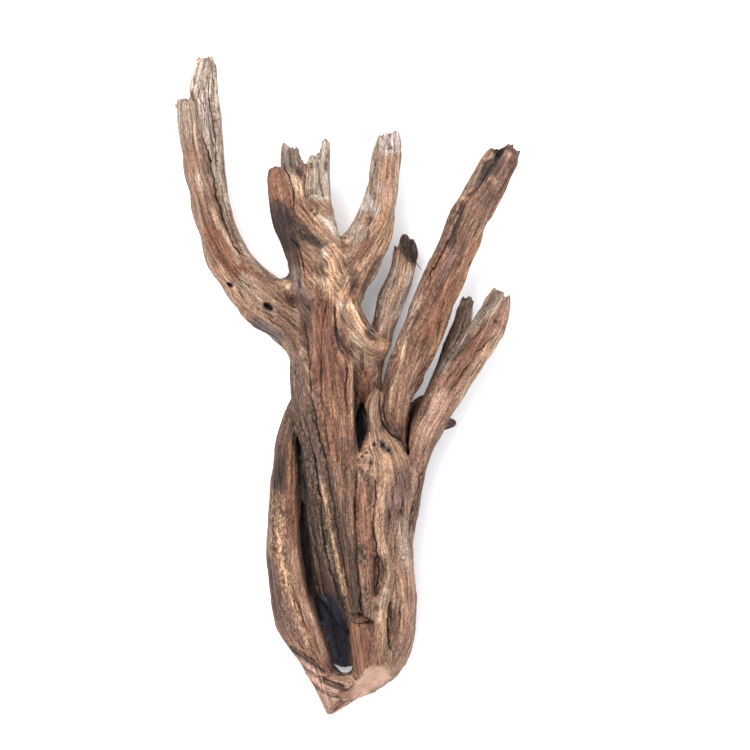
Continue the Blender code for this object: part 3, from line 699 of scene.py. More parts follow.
# %% Carve the cracks
# Each crack: half width and depth in millimetres, and its line on the grid
CRACKS = [
    (0.7, 2.2, [(211.5, 57), (212.6, 70), (213.6, 79), (215, 98), (216.5, 118)]),
    (1.0, 3.0, [(206, 74), (208.5, 85), (210.5, 106), (213.6, 127), (214.6, 149), (216, 168)]),
    (0.7, 2.0, [(197, 81), (199, 95), (203, 106), (204, 116), (205.5, 130)]),
    (1.3, 4.0, [(201, 134), (206, 144), (208, 153), (211, 168), (214, 180), (216, 198),
                (219, 207), (223, 220), (229, 235), (234, 246), (241, 254), (248, 258)]),
    (0.7, 1.6, [(204.5, 153), (208, 168), (210, 182)]),
    (0.6, 1.6, [(222, 190), (224, 200), (229, 221), (233, 231), (240, 246), (244, 252)]),
    (0.6, 1.6, [(207, 150), (212, 175), (218, 200), (226, 225), (236, 248), (246, 262)]),
    (0.5, 1.4, [(216.5, 150), (219, 180), (224, 205), (232, 230), (243, 252)]),
    (0.5, 0.8, [(189, 149), (195, 151), (203, 149)]),
    (0.6, 1.8, [(233, 285), (241, 295), (252, 305), (260, 310), (267, 314), (272, 320),
                (280, 325), (289, 329), (292, 336)]),
    (0.5, 1.0, [(214, 262), (222, 276), (233, 290), (246, 303), (258, 313)]),
    (0.5, 1.0, [(226, 262), (238, 277), (252, 288), (270, 297), (284, 308), (291, 322)]),
    (0.9, 2.4, [(289, 235), (299, 246), (301, 252), (302.6, 264), (305.6, 277), (305.6, 284),
                (309, 291)]),
    (0.7, 2.0, [(303, 157), (304, 174), (305, 189), (306, 203)]),
    (1.0, 3.0, [(284, 160), (286, 171), (291, 184), (295, 197), (295, 210), (297, 221)]),
    (0.9, 2.5, [(289, 148), (289.5, 158), (290, 167)]),
    (0.9, 2.0, [(369, 231), (368, 237), (366, 243)]),
    (0.5, 1.2, [(388, 226), (380, 237), (373, 246), (366, 253), (359, 261)]),
    (0.5, 1.2, [(374, 256), (366, 268), (360, 281)]),
    (0.6, 1.2, [(376, 152), (374, 170), (371, 188), (369, 203)]),
    (0.5, 1.2, [(396, 150), (394, 172), (391, 192)]),
    (0.8, 2.4, [(461, 203), (454, 220), (452, 230), (449, 238), (444, 249), (438, 260),
                (431, 275), (424, 292)]),
    (0.6, 1.6, [(446, 292), (440, 320), (437, 345), (425, 368), (412, 386), (401, 406)]),
    (0.5, 1.3, [(470, 235), (462, 255), (452, 280), (444, 303)]),
    (0.5, 1.2, [(432, 325), (424, 345), (414, 368), (404, 390)]),
    (0.8, 2.2, [(469, 306), (463, 324), (457, 340), (451, 352)]),
    (0.7, 2.0, [(501, 328), (491, 339), (476, 352), (468, 365), (455, 385), (448, 394)]),
    (1.0, 1.6, [(492, 315), (480, 330), (468, 345), (455, 358), (446, 370)]),
    (0.5, 1.2, [(466, 352), (455, 368), (443, 388), (433, 408), (424, 430)]),
    (1.2, 3.0, [(380, 392), (379.3, 405), (380.5, 418), (385, 427), (392, 434), (400, 440),
                (405, 445)]),
    (0.8, 2.0, [(388, 366), (388, 378), (386, 392), (383, 408), (384.5, 420), (391, 428),
                (399, 433)]),
    (0.9, 2.6, [(305, 322), (308.5, 346), (309.6, 365), (311, 381), (312.5, 398), (316.5, 421),
                (321, 438), (326, 459), (330, 478), (333, 500), (337, 530), (343, 560),
                (350, 592)]),
    (0.6, 1.6, [(294, 340), (297, 365), (297.5, 392), (298, 415), (306, 438), (312, 450)]),
    (1.1, 3.2, [(305, 415), (309, 430), (315, 460), (319, 480), (321, 500), (323, 530),
                (326, 550), (331, 570), (337, 592), (344, 612)]),
    (0.9, 2.8, [(303, 470), (309, 500), (312, 530), (318, 560), (325, 590), (333, 616)]),
    (0.7, 2.0, [(326, 300), (323, 330), (321, 360), (322, 395), (326, 430), (331, 460)]),
    (0.5, 1.2, [(334, 372), (332, 400), (335, 430), (338, 462), (341, 492)]),
    (0.9, 3.2, [(345, 357), (346, 371), (346.5, 390), (347, 412)]),
    (2.0, 4.5, [(334, 300), (335, 316), (336, 335), (340, 348), (346, 357)]),
    (1.2, 4.2, [(354.6, 360), (354.8, 400), (355.5, 425), (357.5, 438), (359.5, 449)]),
    (1.2, 4.2, [(356.5, 462), (355.5, 500), (355.7, 530), (357, 560), (360, 590), (362, 616)]),
    (1.2, 3.6, [(371, 474), (375.6, 480), (376, 489), (375, 501), (374, 512), (373, 524),
                (375, 535), (378, 541), (375, 549), (377, 561), (379, 570), (377, 581),
                (375, 593)]),
    (0.6, 1.4, [(289, 556), (295, 590), (301, 605), (309, 620), (315, 640), (321, 660)]),
    (1.3, 3.0, [(284, 644), (292, 646), (300, 650), (312, 660), (326, 672)]),
    (1.0, 2.6, [(300, 664), (310, 671), (320, 677), (340, 683), (349, 687)]),
    (0.7, 1.8, [(314, 684), (324, 689), (335, 694), (346, 702)]),
    (0.9, 2.2, [(354.5, 677), (353.5, 684), (349, 690), (341, 690)]),
    (1.0, 2.6, [(391, 606), (388, 618), (387.5, 634), (389, 645), (393, 653)]),
    (0.6, 1.6, [(397, 606), (400, 616), (400, 634), (397.5, 648), (394.5, 656)]),
    (0.8, 2.2, [(395, 652), (394.5, 661), (391, 671), (389, 675)]),
    (1.2, 4.0, [(349, 621), (358, 622), (366, 623), (375, 621)]),
    (0.7, 1.6, [(400, 470), (393, 492), (388, 520), (387, 545)]),
    (0.6, 1.4, [(409, 474), (402, 500), (396, 528), (394, 560), (396, 590)]),
    (0.9, 2.4, [(425, 458), (420, 476), (415, 494), (411, 512), (409, 527)]),
    (0.5, 1.2, [(274, 470), (275, 500), (274, 530), (275, 560)]),
    (0.5, 1.2, [(281, 440), (280, 470), (281, 505), (280, 535)]),
    (0.6, 1.6, [(372, 395), (368, 402), (368, 415), (371, 430), (370, 440)]),
    (0.5, 1.4, [(362, 356), (365, 370), (367, 384)]),
    (0.5, 1.2, [(352, 300), (358, 312), (366, 324), (373, 334)]),
    (0.6, 1.4, [(340, 262), (344, 280), (351, 296), (360, 312)]),
]
points, normals = mesh_points(wood), mesh_normals(wood)
seen = topmost(points, normals)
for half, deep, line in CRACKS:
    close = near_line(points, line, 3 * half * MM)
    apart, _, from_end = line_distance(wandering(points[close]), line)
    taper = ramp(from_end, -1 * MM, 8 * MM) * 0.85 + 0.15
    wavy = noise(points[close, 0] / (5 * MM), points[close, 1] / (9 * MM), 0, 81)
    profile = np.clip(1 - apart / (half * MM * (0.8 + 0.5 * wavy) * (0.4 + 0.6 * taper)), 0, 1)
    points[close, 2] -= deep * MM * profile**0.9 * taper * (0.65 + 0.5 * wavy) * seen[close]
set_points(wood, points)
print("cracks:", len(CRACKS))

# %% [markdown]
# ## Overlapping layers
# In places a layer of wood has come off and the next one lies lower, with a sharp edge between
# them. Each edge is drawn as a line, and the skin on the left of someone walking along it is
# lowered, most of all right at the edge.

# %% Lower the layers that lie behind an edge
# Each edge: how much lower and how far that reaches, in millimetres, and its line on the grid
EDGES = [
    (2.6, 5.0, [(329, 673), (314, 662), (302, 653), (292, 647), (281, 641)]),
    (2.2, 5.0, [(350, 687), (340, 683), (320, 677), (308, 670), (297, 663)]),
    (1.7, 4.0, [(346, 702), (335, 694), (320, 687), (311, 682)]),
    (0.9, 4.0, [(303, 202), (311, 196), (320, 196), (331, 201)]),
    (0.9, 5.0, [(336, 314), (328, 303), (318, 297), (310, 300), (303, 313)]),
    (1.5, 3.5, [(461, 203), (454, 218), (451, 234), (444, 248), (438, 260), (430, 277)]),
    (0.9, 5.0, [(446, 366), (458, 355), (468, 345), (479, 335), (484, 321), (488, 306)]),
    (1.0, 4.0, [(388, 228), (375, 245), (361, 262)]),
    (0.8, 3.0, [(371, 257), (362, 272)]),
    (2.6, 3.0, [(344, 357.5), (355, 359)]),
    (1.2, 3.5, [(346, 358), (346.5, 390), (347.5, 414)]),
    (0.7, 4.0, [(281, 612), (272, 575), (268, 540), (272, 503)]),
    (0.9, 4.0, [(249, 293), (253, 284), (262, 290), (272, 292)]),
    (0.8, 4.0, [(270, 204), (281, 203), (292, 202)]),
    (1.0, 3.0, [(301, 176), (295, 172), (288, 170)]),
    (0.7, 3.0, [(381, 153), (388, 149), (395, 150)]),
    (1.0, 3.0, [(455, 203), (461, 198), (468, 193)]),
    (0.9, 3.5, [(375, 593), (379, 570), (374, 549), (376, 535), (374, 512), (376, 489),
                (371, 474)]),
    (0.8, 4.0, [(384, 655), (389, 640), (387, 615), (391, 602)]),
]
points, normals = mesh_points(wood), mesh_normals(wood)
seen = topmost(points, normals)
for lower, reach, line in EDGES:
    close = near_line(points, line, 4 * reach * MM)
    apart, sign, from_end = line_distance(points[close], line)
    drop = np.exp(-apart / (reach * MM)) * ramp(sign * apart, -0.1 * MM, 0.5 * MM)
    points[close, 2] -= lower * MM * drop * ramp(from_end, 0, 5 * MM) * seen[close]
set_points(wood, points)
print("edges:", len(EDGES))

# %% Sink the holes, pits and scars
# Each oval: x, y, half length, half width in squares, tilt in degrees, depth in millimetres
HOLES = {
    "upper flight hole": (230.5, 285, 4.2, 2.4, -28, 5.5),
    "lower flight hole": (268.5, 307, 6.2, 3.2, -38, 7.0),
    "ring scar": (316, 215, 3.4, 2.6, 10, 1.3),
    "ring scar edge": (312, 211, 2.2, 1.6, 40, 1.0),
    "branch knot": (495.5, 322, 2.4, 2.4, 0, 1.2),
    "pit by the knot": (382.5, 445, 2.6, 2.0, 30, 2.6),
    "pit beside it": (388.5, 450, 2.0, 1.6, 0, 2.2),
    "pit above it": (378, 440, 1.6, 1.2, 0, 1.6),
    "pit on the chin": (367, 452, 2.2, 1.4, 60, 1.2),
    "second pit on the chin": (364, 462, 1.6, 1.2, 20, 1.0),
    "pit on the plank": (303, 620, 1.2, 1.2, 0, 0.8),
    "third pit on the chin": (362, 456, 1.4, 1.1, 40, 1.2),
    "fourth pit on the chin": (371, 462, 1.8, 1.2, 80, 1.4),
    "fifth pit on the chin": (360, 468, 1.4, 1.0, 0, 1.0),
    "sixth pit on the chin": (374, 444, 1.8, 1.3, 30, 1.6),
    "dent in the horn": (389.5, 149, 3.6, 1.6, 10, 1.5),
    "hollow in the long branch": (499, 155, 6.0, 3.4, 52, 3.5),
    "dent under the knee": (372, 333, 5.0, 3.5, -40, 2.0),
    "tip pit": (335, 705, 1.3, 1.3, 0, 1.0),
}
normals = mesh_normals(wood)
seen = topmost(points, normals, 8 * MM)
for x, y, long, wide, tilt, deep in HOLES.values():
    spot = place(x, y)
    cosine, sine = math.cos(math.radians(tilt)), math.sin(math.radians(tilt))
    right = (points[:, 0] - spot.x) * cosine + (points[:, 1] - spot.y) * sine
    upward = (points[:, 1] - spot.y) * cosine - (points[:, 0] - spot.x) * sine
    apart = np.hypot(right / (long * SQUARE), upward / (wide * SQUARE))
    points[:, 2] -= deep * MM * (1 - ramp(apart, 0.55, 1.1)) * seen
set_points(wood, points)
print("holes:", len(HOLES))

# %% [markdown]
# ## The saw cut
# The base was sawn off, and it is the one flat face on the wood. A boolean would leave long
# thin faces along its edge. So the cut is a plane, and whatever stands past it is pushed back
# onto it, which leaves a crisp edge all round.

# %% Plane the sawn face
SAW_POINT = np.array(place(374.6, 682, 44))
SAW_FACING = np.array([0.44, -0.70, 0.52])
SAW_FACING /= np.linalg.norm(SAW_FACING)
BASE_REACH = 40 * SQUARE  # how far from its middle the cut goes
past = (points - SAW_POINT) @ SAW_FACING
near_base = np.linalg.norm(points[:, :2] - SAW_POINT[:2], axis=1) < BASE_REACH
near_base &= points[:, 0] > place(349, 0).x
cut = near_base & (past > 0)
points[cut] -= past[cut, None] * SAW_FACING
set_points(wood, points)
print("points on the sawn face:", int(cut.sum()))

# %% [markdown]
# ## Fewer faces
# The wood now has far more faces than it needs on its plain parts. A coarser remesh would lose
# the cracks too, but Decimate joins the faces of plain parts and keeps them where the skin
# bends. The feet are flattened again, so that the wood rests level.

# %% Thin out the faces
MOST_TRIANGLES = 193000
apply_modifier(wood, "TRIANGULATE")
count = len(wood.data.polygons)
if count > MOST_TRIANGLES:
    apply_modifier(wood, "DECIMATE", ratio=MOST_TRIANGLES / count)
points = mesh_points(wood)
points[:, 2] = np.maximum(points[:, 2], 0)
set_points(wood, points)
select_only(wood)
bpy.ops.object.shade_smooth()
print("triangles:", count, "thinned to", len(wood.data.polygons))

# %% [markdown]
# ## Scraps of bark
# Two curled scraps of dark bark still cling to the end of the branch behind, with one loose
# fibre. They are too thin to carve out of the skin. A scrap is modelled from a grid: its rows
# are set to its outline, its edges curl down, and Solidify gives it thickness. The fibre is a
# long thin cone. They join the wood.

# %% Model the scraps of bark
# Each scrap: its rows, as x, y and half width in squares
SCRAPS = {
    "outer": [(404.5, 234, 1.2), (405, 237, 4.2), (404.8, 243, 5.6), (405.2, 249, 5.8),
              (407, 255, 4.4), (410, 261, 1.8)],
    "inner": [(412.3, 239, 0.8), (413.6, 244, 2.2), (415, 251, 2.7), (415.6, 257, 2.2),
              (415, 261, 0.8)],
}
scraps = []
points = mesh_points(wood)
for rows in SCRAPS.values():
    bpy.ops.object.select_all(action="DESELECT")
    bpy.ops.mesh.primitive_grid_add(x_subdivisions=6, y_subdivisions=len(rows) - 1, size=2)
    scrap = bpy.context.object
    for vert in scrap.data.vertices:
        x, y, half = rows[round((1 - vert.co.y) / 2 * (len(rows) - 1))]
        top = height_at(points, min(x, 412), max(y, 241)) / SQUARE
        vert.co = place(x + half * vert.co.x, y, top + 1.6 - 3.4 * vert.co.x**2)
    apply_modifier(scrap, "SUBSURF", levels=1, render_levels=1)
    apply_modifier(scrap, "SOLIDIFY", thickness=0.9 * MM, offset=0)
    scraps.append(scrap)
start, end = place(414, 260, 40), place(422, 270, 42)
bpy.ops.object.select_all(action="DESELECT")
bpy.ops.mesh.primitive_cone_add(vertices=6, radius1=0.5 * MM, radius2=0.15 * MM, depth=1)
fibre = bpy.context.object
turn = (end - start).to_track_quat("Z", "Y").to_matrix().to_4x4()
sizes = Matrix.Diagonal((1, 1, (end - start).length, 1))
fibre.data.transform(Matrix.Translation((start + end) / 2) @ turn @ sizes)
select_only(wood, fibre, *scraps)
bpy.ops.object.join()
apply_modifier(wood, "TRIANGULATE")
select_only(wood)
bpy.ops.object.shade_smooth()
print("scraps:", len(scraps), "triangles:", len(wood.data.polygons))

# %% [markdown]
# ## Painting
# The colours of weathered wood come in patches that follow the limbs: silver where sun and rain
# took the outer wood, cream where the dry skin flakes, rust where the wood is fresh, and near
# black where it rotted or burnt. Near black is also painted into the deep gaps, the slot, the
# cavity and the holes, as painted shade. A painted picture could be wrapped round the wood, but
# strokes need no picture file and can be changed one by one. Each has a colour, a half width in
# squares, a strength, how flaky the wood is there, and a line. The strokes are stored on the
# points. Their edges are pushed to and fro by a noise that is stretched along the grain, so
# that they run out in fibres.

# %% The palette and the limbs' own colours


def colour(code):
    """An sRGB hex colour as the linear colour that nodes use."""
    parts = [int(code[i : i + 2], 16) / 255 for i in (1, 3, 5)]
    return (*[p / 12.92 if p <= 0.04045 else ((p + 0.055) / 1.055) ** 2.4 for p in parts], 1)


PALETTE = {
    "silver": "#b5a593", "ash": "#978a7d", "slate": "#7d7068", "bone": "#c9b59e",
    "cream": "#e3c6a2", "wheat": "#cfa985", "sand": "#bd967a", "honey": "#b4865f",
    "tan": "#a8856d", "clay": "#a0745c", "rust": "#9c6a50", "brick": "#8c5c45",
    "cocoa": "#83624f", "plum": "#82645a", "umber": "#65493b", "peat": "#4d372c",
    # The bluish near black is painted shade in the slot, the cavity, the holes and the pits, and
    # the fibre's own colour
    # The brown black is burnt wood, and painted shade in the hollow of the long branch and in a
    # gap
    "char_and_shade": "#402f29", "shade_and_bark_black": "#343443", "rose": "#c69c86", "pearl": "#e5d8c6",
    # The dark grey is painted shade in a gap
    "blush": "#dcb49d", "russet": "#90634b", "gap_shade_grey": "#504845", "peach": "#edc19b",
    "frost": "#dbd3cb",
}
LIMB_COLOURS = {
    "left_rod": "tan", "left_blade": "pearl", "left_sliver": "bone", "stub_left": "clay",
    "stub_middle": "ash", "stub_right": "pearl", "stub_core": "tan", "horn_ridge": "wheat",
    "horn_flank": "bone", "knee": "cream", "shank": "cocoa", "rear_branch": "rose",
    "long_shaft": "russet", "long_rib": "cocoa", "right_shaft": "clay", "right_spike": "umber",
    "snag": "peat", "rear_strip": "ash", "tongue": "tan", "knot": "tan", "chin": "cream",
    "left_lobe": "russet", "strand_first": "peat", "strand_second": "peat",
    "strand_third": "peat", "strand_fourth": "umber", "plank": "brick", "strand_fifth": "brick",
    # The web and the sole lie deep in the slot; their near black is painted shade
    "strand_sixth": "tan", "heart": "umber", "web": "shade_and_bark_black", "sole": "shade_and_bark_black", "block": "brick",
    "bridge": "sand", "toe": "rose", "back_left": "tan", "back_middle": "cocoa",
    "back_right": "tan", "back_outer": "clay", "heel": "umber", "shoulder": "cocoa",
    "elbow": "cocoa", "ramp": "tan", "socket": "peat",
}
# The grain drawn over it darkens and reddens the paint, so it starts out lighter and cooler
GRAIN_LOSS = np.array([1.08, 1.17, 1.27])
BRIGHTEST = 0.95  # no paint is lighter than this in any of its three parts
# Each limb's grain is shifted by this many metres, so that no two limbs have the same streaks
SHIFT_ROUND, SHIFT_ALONG = 0.137, 0.071
# A stroke is full out to the first of these half widths and ends at the second; its edge, moved
# by the noise, stays inside the third
BRUSH_FULL, BRUSH_END, BRUSH_REACH = 0.7, 1.25, 2.2
print("colours:", len(PALETTE))

# %% The brush strokes
# Each stroke: colour, half width in squares, strength, flaking, and its line on the grid
STROKES = [
    ("bone", 12, 0.8, 0.2, [(182, 103), (186, 122), (190, 142)]),
    ("silver", 5, 0.7, 0.2, [(178, 104), (181, 130), (184, 150)]),
    ("clay", 9, 0.6, 0.0, [(190, 152), (194, 170)]),
    ("tan", 9, 0.8, 0.1, [(194, 168), (200, 190)]),
    ("bone", 4, 0.8, 0.5, [(199, 176), (203, 192)]),
    ("tan", 10, 0.9, 0.0, [(200, 202), (208, 226)]),
    ("rust", 10, 0.95, 0.0, [(213, 234), (222, 250), (241, 274), (252, 286)]),
    ("cream", 2.6, 0.9, 0.7, [(213, 212), (222, 230), (231, 246), (239, 262)]),
    ("brick", 2.6, 0.6, 0.0, [(216, 242), (232, 264), (248, 282)]),
    ("silver", 4, 0.7, 0.1, [(208, 58), (207, 76)]),
    ("pearl", 3, 0.8, 0.2, [(197, 84), (199, 100), (204, 124), (208, 148)]),
    ("silver", 2.4, 0.7, 0.1, [(214, 60), (217, 100), (220, 150), (227, 205)]),
    ("slate", 1.2, 0.7, 0.0, [(203, 84), (208, 112), (213, 150), (218, 190)]),
    ("bone", 3, 0.7, 0.2, [(222, 190), (231, 225), (246, 252), (262, 272)]),
    ("bone", 8, 0.6, 0.2, [(246, 282), (258, 298), (272, 310)]),
    ("tan", 9, 0.7, 0.0, [(262, 284), (276, 298), (290, 316)]),
    ("sand", 6, 0.6, 0.2, [(219, 272), (236, 296), (256, 314)]),
    ("slate", 6, 0.8, 0.0, [(256, 322), (268, 330), (280, 338)]),
    ("cocoa", 6, 0.6, 0.0, [(282, 318), (292, 336), (296, 352)]),
    ("cream", 3, 0.9, 0.8, [(284, 281), (289, 286)]),
    ("peat", 3, 0.7, 0.4, [(286, 276), (291, 281)]),
    ("russet", 12, 0.9, 0.2, [(276, 172), (281, 186), (286, 200)]),
    ("peat", 10, 0.9, 0.1, [(277, 210), (283, 218), (293, 226)]),
    ("char_and_shade", 12, 1.0, 0.0, [(280, 222), (286, 238), (292, 254)]),
    ("umber", 8, 0.7, 0.0, [(290, 262), (294, 272)]),
    ("ash", 7, 0.6, 0.0, [(296, 276), (301, 290), (304, 300)]),
    ("ash", 5, 0.8, 0.2, [(283, 146), (284, 166)]),
    ("ash", 6, 0.7, 0.2, [(294, 152), (296, 160)]),
    ("char_and_shade", 3.4, 0.85, 0.0, [(291, 166), (297, 170), (299, 175)]),
    ("char_and_shade", 1.6, 0.7, 0.0, [(290, 150), (290, 162)]),
    ("cream", 5, 0.9, 0.9, [(291, 176), (296, 184), (300, 194)]),
    ("sand", 1.6, 0.7, 0.1, [(309, 164), (311, 180), (312, 194)]),
    ("bone", 3, 0.8, 0.2, [(311, 164), (313, 180), (315, 193)]),
    ("ash", 2.4, 0.6, 0.1, [(318, 166), (319, 180), (321, 196)]),
    ("silver", 4, 0.8, 0.1, [(326, 144), (327, 170)]),
    ("tan", 9, 0.9, 0.1, [(302, 205), (312, 209), (326, 210)]),
    ("cocoa", 3, 0.8, 0.1, [(300, 216), (305, 226), (309, 234)]),
    ("clay", 7, 0.6, 0.2, [(300, 206), (306, 218), (313, 230)]),
    ("honey", 4, 0.7, 0.2, [(304, 212), (309, 222)]),
    ("cream", 3.4, 1.0, 0.7, [(314, 215), (319, 218)]),
    ("honey", 6, 0.7, 0.4, [(320, 226), (326, 238), (331, 243)]),
    ("peat", 6, 0.8, 0.2, [(299, 228), (308, 238), (317, 243)]),
    ("char_and_shade", 2.2, 0.9, 0.0, [(304, 237), (310, 236), (315, 238)]),
    ("char_and_shade", 2.6, 0.8, 0.0, [(312, 243), (318, 246)]),
    ("peat", 3, 0.7, 0.1, [(324, 246), (331, 245), (336, 248)]),
    ("clay", 7, 0.8, 0.2, [(306, 252), (309, 270), (312, 286)]),
    ("tan", 5, 0.7, 0.3, [(314, 252), (316, 262)]),
    ("pearl", 9, 0.5, 0.5, [(334, 252), (333, 268), (331, 284), (335, 298)]),
    ("peach", 8, 0.9, 0.8, [(334, 252), (333, 268), (331, 284), (335, 298)]),
    ("cream", 4, 0.8, 0.8, [(317, 278), (324, 290)]),
    ("wheat", 6, 0.8, 0.6, [(341, 240), (347, 254), (344, 270)]),
    ("peat", 2.4, 0.8, 0.2, [(316, 266), (318, 276)]),
    ("umber", 3, 0.7, 0.2, [(321, 268), (323, 278)]),
    ("umber", 6, 0.8, 0.0, [(302, 302), (306, 320), (307, 345)]),
    ("plum", 3, 0.6, 0.0, [(311, 300), (312, 320), (311, 345)]),
    ("clay", 5, 0.8, 0.1, [(314, 296), (322, 299), (330, 304)]),
    ("frost", 12, 0.8, 0.3, [(390, 134), (389, 148)]),
    ("slate", 2, 0.7, 0.0, [(386, 144), (394, 150)]),
    ("wheat", 6, 0.8, 0.5, [(392, 158), (389, 190), (384, 214)]),
    ("rose", 4, 0.8, 0.2, [(389, 162), (388, 182), (385, 200)]),
    ("bone", 2.4, 0.8, 0.6, [(397, 160), (396, 190), (392, 215)]),
    ("bone", 4, 0.8, 0.3, [(375, 150), (374, 176), (371, 200), (364, 222)]),
    ("ash", 3, 0.5, 0.2, [(374, 186), (370, 204), (362, 222)]),
    ("frost", 3.2, 1.0, 0.2, [(362, 205), (367, 212)]),
    ("frost", 3.4, 1.0, 0.2, [(371, 206), (377, 212)]),
    ("frost", 2.4, 1.0, 0.2, [(368, 196), (370, 202)]),
    ("frost", 2.0, 1.0, 0.2, [(379, 184), (380, 192)]),
    ("honey", 4, 0.6, 0.3, [(386, 206), (380, 226), (374, 240)]),
    ("tan", 5, 0.7, 0.6, [(368, 214), (364, 224)]),
    ("silver", 7.5, 0.95, 0.2, [(354, 233), (361, 235), (365, 237)]),
    ("umber", 1.6, 0.8, 0.0, [(369, 231), (369, 238), (366, 243)]),
    ("sand", 6, 0.8, 0.3, [(386, 232), (378, 250), (368, 268)]),
    ("wheat", 2.6, 0.9, 0.2, [(387, 230), (376, 245), (364, 261)]),
    ("brick", 4, 0.8, 0.1, [(370, 240), (362, 252), (354, 264)]),
    ("cocoa", 6, 0.8, 0.2, [(350, 262), (353, 278), (356, 290)]),
    ("umber", 4, 0.8, 0.1, [(352, 272), (355, 286)]),
    ("umber", 3, 0.8, 0.1, [(380, 256), (372, 272), (362, 288)]),
    ("peach", 9, 0.95, 0.2, [(338, 292), (342, 300), (348, 314), (356, 328)]),
    ("pearl", 2.6, 0.8, 0.4, [(340, 303), (347, 318), (357, 332)]),
    ("sand", 3, 0.7, 0.3, [(342, 312), (352, 326), (366, 342)]),
    ("brick", 3, 0.7, 0.0, [(352, 294), (358, 306), (367, 324)]),
    ("sand", 8, 0.95, 0.3, [(374, 343), (382, 344), (390, 346)]),
    ("honey", 4, 0.6, 0.4, [(378, 340), (386, 340)]),
    ("tan", 8, 0.8, 0.1, [(374, 356), (382, 360), (380, 368)]),
    ("tan", 6, 0.8, 0.2, [(352, 348), (360, 356), (366, 364)]),
    ("umber", 2.6, 1.0, 0.0, [(366, 331), (370, 337), (375, 339)]),
    ("sand", 6, 0.9, 0.0, [(338, 318), (341, 334), (348, 350)]),
    ("peat", 2.2, 0.9, 0.0, [(336, 328), (340, 342), (348, 353)]),
    ("slate", 6, 0.8, 0.3, [(391, 262), (383, 284), (375, 310), (373, 328)]),
    ("cream", 3.4, 0.7, 0.2, [(408, 264), (400, 290), (392, 312), (388, 330)]),
    ("bone", 2.4, 0.8, 0.4, [(399, 258), (394, 280), (388, 304), (383, 326)]),
    ("pearl", 2.4, 0.8, 0.2, [(411, 272), (403, 296), (396, 318)]),
    ("slate", 3, 0.6, 0.3, [(384, 290), (377, 310)]),
    ("wheat", 5, 0.7, 0.2, [(404, 258), (410, 264)]),
    # Near black in the hollow of the long branch's torn end: painted shade
    ("char_and_shade", 9, 0.85, 0.1, [(501, 156), (490, 165), (480, 176)]),
    ("char_and_shade", 4, 1.0, 0.0, [(502, 150), (495, 157)]),
    ("char_and_shade", 3, 1.0, 0.0, [(482, 172), (474, 183), (467, 195)]),
    ("tan", 3, 0.7, 0.3, [(489, 154), (479, 164), (472, 178)]),
    ("cream", 1.4, 0.8, 0.4, [(491, 157), (485, 161)]),
    ("bone", 1.4, 0.7, 0.2, [(481, 167), (475, 180), (470, 192)]),
    ("tan", 2.6, 0.7, 0.2, [(473, 176), (466, 192), (458, 201)]),
    ("plum", 8, 0.8, 0.1, [(512, 156), (504, 172), (494, 190), (484, 204)]),
    ("rose", 2.4, 0.8, 0.5, [(506, 155), (512, 158)]),
    ("rose", 4, 0.7, 0.7, [(492, 181), (496, 187)]),
    ("cocoa", 4, 0.7, 0.2, [(508, 164), (502, 180), (494, 196)]),
    ("rose", 2.4, 0.7, 0.4, [(456, 201), (462, 199)]),
    ("tan", 5, 0.7, 0.1, [(478, 208), (470, 230), (464, 250)]),
    ("peat", 3.6, 0.85, 0.0, [(463, 207), (456, 228), (450, 246)]),
    ("cocoa", 4, 0.7, 0.2, [(452, 208), (446, 226), (440, 246)]),
    ("bone", 1.2, 0.9, 0.2, [(458, 210), (453, 226), (447, 240)]),
    ("char_and_shade", 2, 0.8, 0.0, [(461, 212), (456, 224), (452, 236)]),
    ("honey", 6, 0.5, 0.1, [(476, 240), (466, 262), (456, 290)]),
    ("umber", 3, 0.6, 0.1, [(464, 236), (456, 254), (446, 276)]),
    ("plum", 5, 0.6, 0.1, [(456, 250), (444, 274), (434, 300)]),
    ("rust", 7, 0.7, 0.0, [(448, 286), (438, 310), (430, 336)]),
    ("honey", 4, 0.6, 0.1, [(452, 300), (443, 326), (432, 352)]),
    ("cocoa", 5, 0.6, 0.1, [(424, 300), (412, 328), (402, 352)]),
    ("bone", 2.2, 0.8, 0.6, [(419, 300), (408, 330), (402, 356)]),
    ("cream", 1.8, 0.9, 0.7, [(404, 348), (401, 364), (396, 378), (391, 392), (390, 408)]),
    ("cocoa", 4, 0.7, 0.0, [(389, 366), (387, 388), (384, 412)]),
    ("tan", 6, 0.6, 0.1, [(420, 352), (410, 380), (402, 410)]),
    ("peat", 3, 0.6, 0.0, [(396, 428), (404, 430)]),
    ("ash", 10, 0.8, 0.3, [(500, 294), (490, 306), (482, 318)]),
    ("bone", 4, 0.6, 0.5, [(503, 296), (496, 308), (490, 316)]),
    ("rose", 5, 0.8, 0.1, [(508, 304), (504, 320)]),
    ("clay", 8, 0.7, 0.0, [(492, 322), (482, 338), (470, 354)]),
    ("brick", 6, 0.5, 0.0, [(478, 340), (464, 362), (450, 384)]),
    ("cream", 5, 0.75, 0.1, [(502, 334), (488, 356), (474, 378), (460, 400)]),
    ("wheat", 4, 0.5, 0.1, [(482, 362), (468, 386)]),
    ("silver", 6, 0.9, 0.4, [(472, 312), (464, 332), (452, 352), (442, 368)]),
    ("char_and_shade", 2.2, 0.8, 0.2, [(470, 336), (462, 348), (454, 360)]),
    ("cocoa", 3, 0.8, 0.3, [(461, 312), (453, 334), (444, 356)]),
    ("char_and_shade", 3, 0.8, 0.0, [(452, 316), (445, 336), (438, 358), (432, 376)]),
    ("char_and_shade", 5, 1.0, 0.1, [(405, 238), (406, 248), (409, 256)]),
    ("char_and_shade", 4, 1.0, 0.1, [(413, 242), (415, 252), (414, 259)]),
    ("shade_and_bark_black", 3, 1.0, 0.0, [(417, 264), (423, 271)]),
    ("bone", 2.6, 0.9, 0.2, [(458, 306), (464, 303)]),
    ("ash", 3, 0.8, 0.2, [(470, 298), (473, 310)]),
